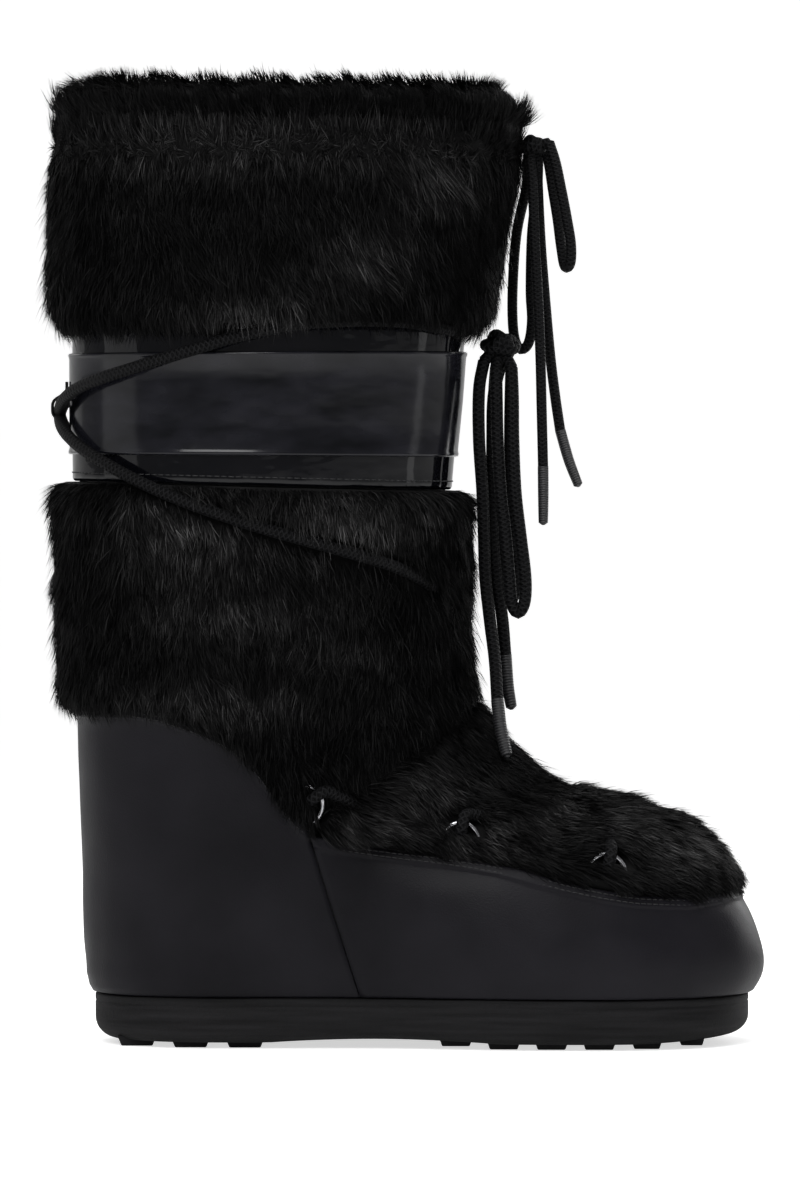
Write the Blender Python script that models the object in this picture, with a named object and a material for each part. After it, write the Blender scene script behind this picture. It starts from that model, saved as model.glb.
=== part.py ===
"""Apres ski boot: a padded liner on a rubber sole, moulded shells round the foot, deep fur over the
ankle, the instep and the collar, a glossy band round the shaft, and one long lace.

Metres, +X to the toe, +Z up, origin on the floor under the middle of the whole boot. The boot is the
same on both sides of its XZ plane, so it fits either foot. The tables below are written from the
middle of the sole, which lies SOLE_AHEAD in front of that origin.

Every layer is read from one form: rings that run round the boot, each from a point on its back
outline to a point on its front outline. A ring's place is v, and the place round it is the angle
theta, which is 0 at the back, pi at the front and below 0 on the side of -Y.
"""

import math
from collections import namedtuple

import bmesh
import bpy
import numpy as np
from mathutils import Matrix, Vector

# Driving dimensions
BOOT_LENGTH = 0.300  # over the moulded shells
BALL_WIDTH = 0.127  # of the liner, at the ball of the foot
SHAFT_WIDTH = 0.120
SOLE_THICK = 0.0227
ANKLE_RISE = 0.127  # from the sole to the middle of the ankle
SHAFT_RISE = 0.265  # from there to the collar
TREAD_DEEP = 0.0024
SOLE_MARGIN = 0.0030  # how far the sole stands out past the liner
SOLE_ROUND = 0.0095  # of the sole's lower edge
ARCH_RISE = 0.0018
TOE_SPRING = 0.0030
SOLE_AHEAD = 0.0090  # the shaft leans back over the heel by twice this

LINER_WALL = 0.0080
INSOLE_THICK = 0.0050
SHELL_WALL = 0.0032
RAND_STEP = 0.0009  # the stitched edge of a shell stands out by this
RAND_TALL = 0.0052
FUR_DEEP = 0.0120
CUFF_DEEP = 0.0127
LOCK_RISE = 0.0034  # of a lock of fur over the fur round it
LOCK_DROOP = 0.0052
BAND_WALL = 0.0022
STRIP_WALL = 0.0013
LACE_WIDE = 0.0055
RING_WIRE = 0.0023
RING_WIDE = 0.0200
RING_TALL = 0.0110
CORD_WIDE = 0.0046
KNOT_WIDE = 0.0165
TOGGLE_WIDE = 0.0110
LOOP_STRAP = 0.0013
LOOP_WIDE = 0.0120

GAP = 0.0003  # between pieces that meet
FUR_CREASE = 0.0008  # between the two furs that meet at the throat
LAY = 0.0007  # between a curved layer and what it lies on
COLUMNS = 28  # round the boot

# The form. The x columns are shares of the boot's length, the level columns run from 0 at the sole
# to 1 at the ankle and 2 at the collar, rear is a share of half the shaft's width, fore and waist
# are shares of half the ball's width, and the two rounds are shares of the ring's own length.
Ring = namedtuple("Ring", "back_x back_level front_x front_level rear fore waist heel_round toe_round")
FORM = (
    Ring(-0.479, 0.000, 0.470, 0.000, 0.745, 0.930, 0.06, 0.19, 0.25),
    Ring(-0.488, 0.055, 0.489, 0.079, 0.780, 0.985, 0.06, 0.19, 0.25),
    Ring(-0.489, 0.110, 0.485, 0.177, 0.792, 1.000, 0.05, 0.19, 0.25),
    Ring(-0.491, 0.173, 0.462, 0.307, 0.803, 0.970, 0.05, 0.19, 0.26),
    Ring(-0.492, 0.236, 0.417, 0.441, 0.813, 0.900, 0.04, 0.20, 0.29),
    Ring(-0.493, 0.307, 0.357, 0.539, 0.825, 0.790, 0.02, 0.21, 0.33),
    Ring(-0.494, 0.402, 0.270, 0.602, 0.842, 0.710, 0.01, 0.23, 0.40),
    Ring(-0.496, 0.520, 0.187, 0.646, 0.860, 0.685, 0.00, 0.26, 0.45),
    Ring(-0.498, 0.661, 0.120, 0.748, 0.885, 0.710, 0.00, 0.31, 0.47),
    Ring(-0.501, 0.819, 0.070, 0.906, 0.910, 0.755, 0.00, 0.37, 0.50),
    Ring(-0.503, 1.000, 0.037, 1.038, 0.935, 0.820, 0.00, 0.44, 0.50),
    Ring(-0.505, 1.113, 0.028, 1.136, 0.960, 0.875, 0.00, 0.48, 0.50),
    Ring(-0.507, 1.234, 0.028, 1.242, 0.985, 0.915, 0.00, 0.50, 0.50),
    Ring(-0.512, 1.362, 0.030, 1.362, 1.000, 0.937, 0.00, 0.50, 0.50),
    Ring(-0.513, 1.509, 0.042, 1.509, 1.000, 0.945, 0.00, 0.50, 0.50),
    Ring(-0.513, 1.649, 0.053, 1.649, 1.000, 0.945, 0.00, 0.50, 0.50),
    Ring(-0.513, 1.792, 0.077, 1.785, 1.000, 0.945, 0.00, 0.50, 0.50),
    Ring(-0.510, 1.906, 0.097, 1.898, 1.000, 0.945, 0.00, 0.50, 0.50),
    Ring(-0.500, 2.000, 0.103, 1.992, 0.980, 0.930, 0.00, 0.50, 0.50),
)
TOP = len(FORM) - 1
BLUNT = 2.15  # 2 makes the rings' ends elliptic, more makes them fuller
ROWS = np.array(
    [0.0, 1, 2, 3, 4, 4.5, 5, 6, 7, 8, 8.5, 9, 9.5, 10, 11, 12, 13, 14, 15, 16, 17, 18]
)

# Edges of the layers as seen from the side: (x as a share of the boot's length, level)
HEEL_EDGE = (
    (-0.520, 1.000), (-0.423, 1.002), (-0.383, 0.989), (-0.335, 0.950), (-0.295, 0.906),
    (-0.263, 0.849), (-0.236, 0.772), (-0.212, 0.688), (-0.190, 0.622), (-0.171, 0.585),
)
TOE_EDGE = (
    (-0.171, 0.562), (-0.120, 0.535), (-0.037, 0.502), (0.022, 0.484), (0.107, 0.449),
    (0.205, 0.390), (0.260, 0.362), (0.303, 0.345), (0.378, 0.331), (0.458, 0.351),
)
SHELL_SEAM = ((-0.171, 0.559), (-0.144, 0.380), (-0.120, 0.228), (-0.101, 0.079), (-0.095, 0.008))
THROAT = ((-0.171, 0.585), (-0.117, 0.701), (-0.040, 0.827), (0.020, 0.929), (0.043, 1.000))
BAND_LOW = ((-0.520, 1.377), (0.040, 1.362))
BAND_HIGH = ((-0.520, 1.640), (0.060, 1.640))
STRIP_LOW = ((-0.520, 1.421), (0.045, 1.418))
STRIP_HIGH = ((-0.520, 1.590), (0.055, 1.594))

# The lace: x as a share of the length, level, side (-1 is the side of -Y) and lift, the height of
# its middle over the liner as a share of the fur's depth
Point = namedtuple("Point", "x level side lift")
EYELETS = ((-0.188, 0.661), (0.049, 0.500), (0.261, 0.392))  # from the ankle to the toe
BAR = (Point(0.262, 0.500, -1, 1.00), Point(0.262, 0.596, -1, 1.00), Point(0.262, 0.596, 1, 1.00),
       Point(0.262, 0.500, 1, 1.00))
CROSS_LOW = (Point(0.255, 0.520, -1, 0.80), Point(0.215, 0.610, -1, 0.95), Point(0.180, 0.634, 1, 1.00),
             Point(0.115, 0.585, 1, 0.92))
CROSS_HIGH = (Point(0.055, 0.610, -1, 0.75), Point(0.105, 0.710, -1, 0.92), Point(0.112, 0.762, 1, 1.00),
              Point(0.060, 0.700, 1, 0.92), Point(-0.080, 0.640, 1, 0.88))
WRAP = (
    Point(-0.130, 0.720, -1, 0.80), Point(-0.030, 0.900, -1, 0.88), Point(0.028, 1.060, -1, 0.95),
    Point(0.020, 1.160, 1, 0.92), Point(-0.040, 1.225, 1, 0.88), Point(-0.138, 1.268, 1, 0.88),
    Point(-0.237, 1.302, 1, 0.86), Point(-0.344, 1.346, 1, 0.80), Point(-0.440, 1.400, 1, 0.66),
    Point(-0.500, 1.452, 1, 0.65), Point(-0.500, 1.520, -1, 0.65), Point(-0.418, 1.562, -1, 0.65),
    Point(-0.333, 1.594, -1, 0.64), Point(-0.270, 1.616, -1, 0.55), Point(-0.175, 1.638, -1, 0.53),
    Point(-0.060, 1.643, -1, 0.53), Point(0.020, 1.630, -1, 0.56),
)

# Cords, in metres: the bow of the lace and the drawcord of the collar
KNOT_AT = (0.0335, 0.0, 0.3100)
TOGGLE_AT = (0.0480, 0.0, 0.3985)
LACE_LOOP_NEAR = (
    (0.0385, -0.0052, 0.3000), (0.0390, -0.0080, 0.2870), (0.0392, -0.0088, 0.2680),
    (0.0402, -0.0090, 0.2450), (0.0425, -0.0092, 0.2250), (0.0446, -0.0094, 0.2070),
    (0.0442, -0.0094, 0.1960), (0.0413, -0.0094, 0.1912), (0.0384, -0.0094, 0.1960),
    (0.0374, -0.0094, 0.2070), (0.0358, -0.0092, 0.2250), (0.0335, -0.0090, 0.2450),
    (0.0322, -0.0088, 0.2680), (0.0318, -0.0084, 0.2870), (0.0316, -0.0058, 0.3000),
)
LACE_LOOP_FAR = (
    (0.0385, 0.0052, 0.3000), (0.0382, 0.0085, 0.2870), (0.0380, 0.0098, 0.2680),
    (0.0385, 0.0100, 0.2450), (0.0395, 0.0100, 0.2250), (0.0408, 0.0100, 0.2090),
    (0.0402, 0.0100, 0.2000), (0.0372, 0.0100, 0.1955), (0.0342, 0.0100, 0.2000),
    (0.0336, 0.0100, 0.2090), (0.0325, 0.0100, 0.2250), (0.0310, 0.0098, 0.2450),
    (0.0308, 0.0096, 0.2680), (0.0308, 0.0088, 0.2870), (0.0316, 0.0058, 0.3000),
)
LACE_END_NEAR = (
    (0.0262, -0.0048, 0.3030), (0.0240, -0.0062, 0.2900), (0.0240, -0.0060, 0.2680),
    (0.0255, -0.0050, 0.2450), (0.0262, -0.0040, 0.2250), (0.0268, -0.0040, 0.2070),
    (0.0288, -0.0060, 0.1880), (0.0310, -0.0110, 0.1700), (0.0320, -0.0185, 0.1530),
)
LACE_TIP_NEAR = ((0.0322, -0.0194, 0.1512), (0.0335, -0.0235, 0.1400), (0.0360, -0.0275, 0.1290))
LACE_END_FAR = (
    (0.0335, 0.0, 0.3010), (0.0305, 0.0010, 0.2870), (0.0300, 0.0020, 0.2680),
    (0.0300, 0.0022, 0.2450), (0.0302, 0.0024, 0.2250), (0.0318, 0.0026, 0.2070),
    (0.0345, 0.0026, 0.1880), (0.0358, 0.0026, 0.1720),
)
LACE_TIP_FAR = ((0.0359, 0.0026, 0.1702), (0.0368, 0.0026, 0.1590), (0.0385, 0.0026, 0.1490))
DRAW_LOOP_NEAR = (
    (0.0552, -0.0024, 0.4000), (0.0580, -0.0044, 0.3910), (0.0606, -0.0050, 0.3785),
    (0.0630, -0.0052, 0.3660), (0.0648, -0.0052, 0.3545), (0.0645, -0.0042, 0.3462),
    (0.0622, -0.0008, 0.3450), (0.0606, 0.0014, 0.3535), (0.0590, 0.0018, 0.3660),
    (0.0570, 0.0018, 0.3785), (0.0554, 0.0018, 0.3890), (0.0542, 0.0018, 0.3952),
)
DRAW_LOOP_FAR = (
    (0.0505, 0.0056, 0.3945), (0.0500, 0.0084, 0.3800), (0.0478, 0.0104, 0.3600),
    (0.0472, 0.0118, 0.3350), (0.0478, 0.0125, 0.3210), (0.0462, 0.0130, 0.3110),
    (0.0424, 0.0140, 0.3085), (0.0396, 0.0150, 0.3160), (0.0392, 0.0166, 0.3350),
    (0.0410, 0.0180, 0.3600), (0.0452, 0.0170, 0.3800), (0.0458, 0.0120, 0.3910),
    (0.0462, 0.0068, 0.3972),
)
DRAW_END_LOW = (
    (0.0468, -0.0038, 0.3928), (0.0478, -0.0072, 0.3800), (0.0488, -0.0080, 0.3550),
    (0.0502, -0.0080, 0.3300), (0.0512, -0.0080, 0.3050), (0.0518, -0.0080, 0.2800),
    (0.0524, -0.0080, 0.2560),
)
DRAW_TIP_LOW = ((0.0524, -0.0080, 0.2542), (0.0525, -0.0080, 0.2430), (0.0525, -0.0080, 0.2312))
DRAW_END_HIGH = (
    (0.0500, -0.0005, 0.3918), (0.0502, 0.0000, 0.3800), (0.0515, 0.0008, 0.3550),
    (0.0535, 0.0020, 0.3300), (0.0558, 0.0030, 0.3050), (0.0580, 0.0020, 0.2870),
    (0.0602, 0.0020, 0.2720),
)
DRAW_TIP_HIGH = ((0.0606, 0.0020, 0.2702), (0.0640, 0.0020, 0.2590), (0.0682, 0.0020, 0.2480))

Look = namedtuple("Look", "color roughness metallic")
RUBBER = Look((0.016, 0.016, 0.017), 0.75, 0.0)
SHELL = Look((0.020, 0.020, 0.022), 0.42, 0.0)
FUR = Look((0.012, 0.012, 0.013), 0.90, 0.0)
LINING = Look((0.030, 0.030, 0.032), 0.95, 0.0)
PATENT = Look((0.010, 0.011, 0.016), 0.10, 0.0)
BRAID = Look((0.025, 0.025, 0.026), 0.80, 0.0)
TIP = Look((0.045, 0.045, 0.046), 0.45, 0.0)
DARK_CHROME = Look((0.22, 0.22, 0.23), 0.25, 1.0)


def clear_scene():
    """Removes every object, so that the script starts from an empty scene."""
    for obj in list(bpy.data.objects):
        bpy.data.objects.remove(obj, do_unlink=True)


def height(level):
    """Height over the floor of a level: 0 at the sole, 1 at the ankle, 2 at the collar."""
    level = np.asarray(level, float)
    foot = np.minimum(level, 1.0) * ANKLE_RISE
    shaft = np.maximum(level - 1.0, 0.0) * SHAFT_RISE
    return SOLE_THICK + GAP + foot + shaft


def real_rings():
    """The form's table in metres."""
    table = np.array(FORM)
    table[:, 0] *= BOOT_LENGTH
    table[:, 1] = height(table[:, 1])
    table[:, 2] *= BOOT_LENGTH
    table[:, 3] = height(table[:, 3])
    table[:, 4] *= SHAFT_WIDTH / 2
    table[:, 5:7] *= BALL_WIDTH / 2
    return table


RINGS = real_rings()


def ring_at(v):
    """The ring at any place v, by a smooth curve through the table's rows."""
    v = np.clip(np.asarray(v, float), 0, TOP)
    row = np.clip(np.floor(v).astype(int), 0, TOP - 1)
    f = (v - row)[..., None]
    a, b, c, d = (RINGS[np.clip(row + k, 0, TOP)] for k in (-1, 0, 1, 2))
    ring = b + 0.5 * (c - a) * f + (a - 2.5 * b + 2 * c - 0.5 * d) * f**2
    ring = ring + (1.5 * b - 0.5 * a - 1.5 * c + 0.5 * d) * f**3
    return np.moveaxis(ring, -1, 0)


def rounded_end(share, reach):
    """Half width near a ring's end, as a share: 0 at the end, 1 from reach on."""
    inward = np.clip((reach - share) / reach, 0, 1)
    return (1 - inward**BLUNT) ** (1 / BLUNT)


def form(theta, v):
    """Points on the liner's outer face."""
    theta = np.asarray(theta, float)
    back_x, back_z, front_x, front_z, rear, fore, waist, heel_round, toe_round = ring_at(v)
    t = (1 - np.cos(theta)) / 2
    blend = np.clip((t - 0.25) / 0.5, 0, 1)
    blend = blend * blend * (3 - 2 * blend)
    half = rear * (1 - blend) + fore * blend - waist * np.exp(-(((t - 0.45) / 0.12) ** 2))
    half = half * rounded_end(t, heel_round) * rounded_end(1 - t, toe_round)
    x = back_x + t * (front_x - back_x)
    z = back_z + t * (front_z - back_z)
    return np.stack([x, half * np.sign(np.sin(theta)), z], axis=-1)


def normal(theta, v):
    """Outward normals of the liner's outer face."""
    theta = np.asarray(theta, float)
    v = np.asarray(v, float) + 0 * theta
    along = form(theta + 0.02, v) - form(theta - 0.02, v)
    up = form(theta, np.minimum(v + 0.05, TOP)) - form(theta, np.maximum(v - 0.05, 0))
    n = np.cross(up, along)
    return n / np.maximum(np.linalg.norm(n, axis=-1, keepdims=True), 1e-12)


def skin(theta, v, lift):
    """Points at a height over the liner's outer face, or inside it where lift is below 0."""
    lift = np.asarray(lift, float) + 0 * np.asarray(theta, float)
    points = form(theta, v) + normal(theta, v) * lift[..., None]
    points[..., 2] = np.maximum(points[..., 2], SOLE_THICK + GAP)
    return points


def faceted(theta, v, lift):
    """Points over the liner's own flats: a column between two of its columns lies on their chord."""
    step = 2 * math.pi / COLUMNS
    before = np.floor(theta / step + 1e-6) * step
    share = ((theta - before) / step)[..., None]
    share = np.where(np.abs(share) < 1e-4, 0.0, share)
    return (1 - share) * skin(before, v, lift) + share * skin(before + step, v, lift)


def on_liner(theta, v, lift):
    """The same with the liner's rows: a point over the flats between its rows and its columns."""
    v = v + 0 * theta
    row = np.clip(np.searchsorted(ROWS, v, side="right") - 1, 0, len(ROWS) - 2)
    share = ((v - ROWS[row]) / (ROWS[row + 1] - ROWS[row]))[..., None]
    return (1 - share) * faceted(theta, ROWS[row], lift) + share * faceted(theta, ROWS[row + 1], lift)


def edge(table, shift=0.0):
    """An edge as a function that gives the height at each x."""
    xs = np.array([row[0] for row in table]) * BOOT_LENGTH
    zs = height([row[1] for row in table]) + shift
    return lambda x: np.interp(x, xs, zs)


def place_under(theta, target):
    """The place v at which each column meets a height that depends on x."""
    low = np.zeros_like(theta)
    high = np.full_like(theta, TOP)
    for _ in range(26):
        middle = (low + high) / 2
        point = form(theta, middle)
        under = point[..., 2] < target(point[..., 0])
        low = np.where(under, middle, low)
        high = np.where(under, high, middle)
    return (low + high) / 2


def place_at(x, z):
    """Theta and v of a point of the side view, on the side of +Y."""
    low, high = 0.0, float(TOP)
    for _ in range(30):
        middle = (low + high) / 2
        back_x, back_z, front_x, front_z = ring_at(middle)[:4]
        share = (x - back_x) / (front_x - back_x)
        if back_z + share * (front_z - back_z) < z:
            low = middle
        else:
            high = middle
    return math.acos(1 - 2 * min(max(float(share), 0.0), 1.0)), (low + high) / 2


def material(name, look):
    """A plain Principled material."""
    mat = bpy.data.materials.new(name)
    mat.use_nodes = True
    shader = mat.node_tree.nodes["Principled BSDF"]
    shader.inputs["Base Color"].default_value = (*look.color, 1.0)
    shader.inputs["Roughness"].default_value = look.roughness
    shader.inputs["Metallic"].default_value = look.metallic
    return mat


def add_object(name, data, look):
    """Links new geometry to the scene, under its name and with its own material."""
    obj = bpy.data.objects.new(name, data)
    bpy.context.scene.collection.objects.link(obj)
    if look:
        data.materials.append(material(name, look))
    return obj


def mesh_object(name, bm, look):
    """Turns a closed bmesh into an object whose faces point outward."""
    bmesh.ops.remove_doubles(bm, verts=bm.verts, dist=1e-6)
    bmesh.ops.dissolve_degenerate(bm, edges=bm.edges, dist=1e-6)
    bmesh.ops.triangulate(bm, faces=bm.faces, quad_method="SHORT_EDGE")
    bmesh.ops.recalc_face_normals(bm, faces=bm.faces)
    mesh = bpy.data.meshes.new(name)
    bm.to_mesh(mesh)
    bm.free()
    mesh.shade_smooth()
    mesh.set_sharp_from_angle(angle=math.radians(40))
    return add_object(name, mesh, look)


def lofted(face, underside):
    """A closed bmesh of a layer that goes right round: rows of its face upward, then rows of its
    underside downward."""
    bm = bmesh.new()
    grid = [[bm.verts.new(point) for point in row] for row in face + underside]
    columns = len(grid[0])
    for row, after in zip(grid, grid[1:] + grid[:1]):
        for k in range(columns):
            other = (k + 1) % columns
            bm.faces.new((row[k], row[other], after[other], after[k]))
    return bm


def lofted_part(face, underside):
    """The same for a layer that goes part of the way round, with a closed cap at each end."""
    bm = bmesh.new()
    grid = [[bm.verts.new(point) for point in row] for row in face + underside]
    columns = len(grid[0])
    for row, after in zip(grid, grid[1:] + grid[:1]):
        for k in range(columns - 1):
            bm.faces.new((row[k], row[k + 1], after[k + 1], after[k]))
    for end in (0, -1):
        outer = [row[end] for row in grid[:len(face)]]
        inner = [row[end] for row in reversed(grid[len(face):])]
        a = b = 0
        while a < len(outer) - 1 or b < len(inner) - 1:
            outward = a < len(outer) - 1 and (
                b == len(inner) - 1 or outer[a + 1].co.z < inner[b + 1].co.z
            )
            third = outer[a + 1] if outward else inner[b + 1]
            bm.faces.new((outer[a], inner[b], third))
            a, b = (a + 1, b) if outward else (a, b + 1)
    return bm


def stacked(rows):
    """A closed bmesh from rows stacked over each other, each symmetric about the XZ plane, with
    flat ends that span from side to side."""
    bm = bmesh.new()
    grid = [[bm.verts.new(point) for point in row] for row in rows]
    columns = len(grid[0])
    for row, after in zip(grid, grid[1:]):
        for k in range(columns):
            other = (k + 1) % columns
            bm.faces.new((row[k], row[other], after[other], after[k]))
    for row in (grid[0], grid[-1]):
        for k in range(columns // 2):
            corners = (row[k], row[k + 1], row[-k - 1], row[-k])
            bm.faces.new(tuple(dict.fromkeys(corners)))
    return bm


def round_columns():
    """The angles of the columns right round the boot, from the back."""
    return np.arange(COLUMNS) * 2 * math.pi / COLUMNS


def lay_rows(theta, low, high):
    """Rows of a layer's underside, from its upper edge to its lower one, over the liner's rows."""
    return [on_liner(theta, np.clip(v, low, high), LAY) for v in ROWS[::-1]]


def cut(obj, cutters, operation="DIFFERENCE"):
    """Cuts or joins an object with others, which are left as hidden guides."""
    for cutter in cutters:
        cutter.hide_render = True
        cutter.display_type = "WIRE"
        boolean = obj.modifiers.new(cutter.name, "BOOLEAN")
        boolean.operation = operation
        boolean.object = cutter
        boolean.solver = "MANIFOLD"


def sole_rise(x):
    """How far the sole's underside rises over the floor along the boot."""
    share = x / BOOT_LENGTH
    arch = ARCH_RISE * np.clip(1 - ((share + 0.06) / 0.17) ** 2, 0, 1)
    spring = TOE_SPRING * np.clip((share - 0.30) / 0.18, 0, 1) ** 1.6
    return arch + spring


def outline_half(x):
    """Half width of the sole at x."""
    theta, _ = place_at(x, float(height(0.0)) + 1e-5)
    return abs(float(form(theta, 0.0)[1])) + SOLE_MARGIN


def sole_ring(margin, z, follow):
    """One closed ring of the sole's side; follow is how much of the underside's rise it takes."""
    theta = round_columns()
    level = form(theta, 0.0 * theta)
    n = normal(theta, 0.0 * theta)
    n[:, 2] = 0
    n /= np.linalg.norm(n, axis=1, keepdims=True)
    ring = level + n * margin
    ring[:, 2] = z + follow * sole_rise(ring[:, 0])
    return ring


def make_outsole():
    """The rubber sole, with rows of lugs under the heel and the forefoot."""
    r = SOLE_ROUND
    rows = [sole_ring(SOLE_MARGIN - 0.0006, SOLE_THICK, 0.0),
            sole_ring(SOLE_MARGIN, SOLE_THICK - 0.0008, 0.0)]
    for turn, follow in ((0, 0.3), (30, 0.7), (60, 0.9), (84, 1.0)):
        a = math.radians(turn)
        rows.append(
            sole_ring(SOLE_MARGIN - r * (1 - math.cos(a)), TREAD_DEEP + r * (1 - math.sin(a)), follow)
        )
    sole = mesh_object("outsole", stacked(rows), RUBBER)
    bm = bmesh.new()
    lug_rows = ((-0.425, 0.050), (-0.345, 0.050), (-0.265, 0.050), (0.045, 0.044), (0.115, 0.044),
                (0.185, 0.044), (0.255, 0.044), (0.325, 0.040), (0.392, 0.034))
    for share, long in lug_rows:
        x = share * BOOT_LENGTH
        half = outline_half(x) - SOLE_ROUND
        for across in (-1, 0, 1):
            add_lug(bm, x, across * half * 0.68, long * BOOT_LENGTH, half * 0.56)
    lugs = mesh_object("lug_blocks", bm, None)
    cut(sole, [lugs], "UNION")


def add_lug(bm, x, y, long, wide):
    """One lug: a block whose foot is a little smaller than its root."""
    corners = []
    for z, spread in ((TREAD_DEEP + 0.0022, 1.15), (0.0, 0.92)):
        for sx, sy in ((-1, -1), (1, -1), (1, 1), (-1, 1)):
            px = x + sx * spread * long / 2
            py = y + sy * spread * wide / 2
            corners.append(bm.verts.new((px, py, z + float(sole_rise(np.array(x))))))
    for face in ((0, 1, 2, 3), (7, 6, 5, 4), (0, 4, 5, 1), (1, 5, 6, 2), (2, 6, 7, 3), (3, 7, 4, 0)):
        bm.faces.new([corners[k] for k in face])


def inner_ring(z, inset):
    """A ring at the foot of the liner's inner face."""
    theta = round_columns()
    n = normal(theta, 1.0 + 0 * theta)
    n[:, 2] = 0
    n /= np.linalg.norm(n, axis=1, keepdims=True)
    ring = form(theta, 1.0 + 0 * theta) - n * inset
    ring[:, 2] = z
    return ring


def make_insole():
    """The footbed on the sole, inside the liner's wall."""
    low = SOLE_THICK + GAP
    inset = LINER_WALL + 2 * LAY
    rows = [inner_ring(low, inset), inner_ring(low + 0.7 * INSOLE_THICK, inset),
            inner_ring(low + INSOLE_THICK, inset + 0.3 * INSOLE_THICK)]
    mesh_object("insole", stacked(rows), LINING)


def make_liner():
    """The upper: a hollow padded wall, open at the collar and underneath."""
    theta = round_columns()
    rows = [skin(theta, v + 0 * theta, 0.0) for v in ROWS]
    rim = form(theta, TOP + 0 * theta)
    n = normal(theta, TOP + 0 * theta)
    n[:, 2] = 0
    n /= np.linalg.norm(n, axis=1, keepdims=True)
    for turn in (60, 120):
        a = math.radians(turn)
        ring = rim - n * LINER_WALL / 2 * (1 - math.cos(a))
        ring[:, 2] += LINER_WALL / 2 * math.sin(a)
        rows.append(ring)
    rim = rim - n * LINER_WALL
    rows.append(rim)
    for v in (17, 14, 12, 10, 9, 8, 7, 5, 3, 1.2):
        rows.append(skin(theta, v + 0 * theta, -LINER_WALL))
    rows.append(inner_ring(SOLE_THICK + GAP, LINER_WALL))
    mesh_object("upper", lofted(rows, []), LINING)


def shell_rows(foot, head, table):
    """Rows of a shell's face and of its underside; foot and head are its columns' angles at its
    lower and its upper edge."""
    low = np.zeros_like(foot)
    high = place_under(head, edge(table))
    band = place_under(head, edge(table, -RAND_TALL))

    def row(v, lift, over=faceted):
        v = np.clip(v, low, high)
        return over(foot + (head - foot) * v / high, v, lift)

    outer = [(0.00, SHELL_WALL * 0.35), (0.05, SHELL_WALL * 0.75), (0.14, SHELL_WALL),
             (0.42, SHELL_WALL * 1.05), (0.72, SHELL_WALL)]
    rows = [row(band * share, LAY + lift) for share, lift in outer]
    rows.append(row(band - 0.15 * (high - band), LAY + SHELL_WALL))
    rows.append(row(band, LAY + SHELL_WALL + RAND_STEP))
    rows.append(row(high, LAY + SHELL_WALL + 0.6 * RAND_STEP))
    return rows, [row(v, LAY, on_liner) for v in ROWS[::-1]]


def columns_between(first, last):
    """Angles of the liner's columns that lie clear between two others, with these at the ends."""
    step = 2 * math.pi / COLUMNS
    inner = np.arange(math.ceil(first / step + 0.06), math.floor(last / step - 0.06) + 1) * step
    return np.concatenate([[first], inner, [last]])


def seam_angles(shift):
    """Theta of the seam between the shells at its foot and its head."""
    head = place_at(SHELL_SEAM[0][0] * BOOT_LENGTH + shift, float(height(SHELL_SEAM[0][1])))[0]
    foot = place_at(SHELL_SEAM[-1][0] * BOOT_LENGTH + shift, float(height(SHELL_SEAM[-1][1])))[0]
    return foot, head


def make_shells():
    """The moulded rear and front shells."""
    low, high = seam_angles(-GAP)
    foot, head = columns_between(-low, low), columns_between(-low, low)
    head[0], head[-1] = -high, high
    mesh_object("heel_shell", lofted_part(*shell_rows(foot, head, HEEL_EDGE)), SHELL)
    low, high = seam_angles(GAP)
    foot = columns_between(low, 2 * math.pi - low)
    head = foot.copy()
    head[0], head[-1] = high, 2 * math.pi - high
    mesh_object("toe_shell", lofted_part(*shell_rows(foot, head, TOE_EDGE)), SHELL)


def locked(theta, v, lift, row, strength=1.0):
    """Points of the fur's face, with its locks: every third column rises and hangs down."""
    index = np.arange(len(theta))
    tip = (index + 2 * row) % 3 == 0
    wave = 0.6 + 0.4 * np.sin(2.4 * index + 5.1 * row)
    rise = np.where(tip, LOCK_RISE * wave, -0.25 * LOCK_RISE) * strength
    points = faceted(theta, v, lift + rise)
    points[:, 2] -= np.where(tip, LOCK_DROOP * wave, 0.0) * strength
    return points


def fur_rows(theta, low, high, deep, shares):
    """Rows round a fur's section: its shaggy face upward, then its underside downward."""
    tall = np.linalg.norm(form(theta, high) - form(theta, low), axis=-1)
    thick = deep * np.clip(tall / (1.6 * deep), 0.25, 1)
    rows = []
    for row, share in enumerate(shares):
        edge_share = min(share, 1 - share)
        bulge = 0.55 + 0.45 * min(1.0, edge_share / 0.12) ** 0.5
        strength = 0.0 if edge_share < 0.05 else min(1.0, edge_share / 0.15)
        strength = strength * np.clip(tall / (len(shares) * 2 * LOCK_DROOP), 0, 1)
        rows.append(locked(theta, low + (high - low) * share, LAY + thick * bulge, row, strength))
    return rows, lay_rows(theta, low, high)


def make_foot_fur(cutters):
    """The fur over the instep and the sides of the foot, from the toe shell to the throat."""
    start = place_at(THROAT[0][0] * BOOT_LENGTH, float(height(THROAT[0][1])))[0]
    theta = columns_between(start, 2 * math.pi - start)
    low = place_under(theta, edge(TOE_EDGE, 2 * GAP))
    high = place_under(theta, edge(THROAT, -FUR_CREASE))
    shares = (0, 0.05, 0.15, 0.27, 0.40, 0.53, 0.66, 0.79, 0.9, 0.97, 1)
    fur = mesh_object("foot_fur", lofted_part(*fur_rows(theta, low, high, FUR_DEEP, shares)), FUR)
    cut(fur, cutters)


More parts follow.
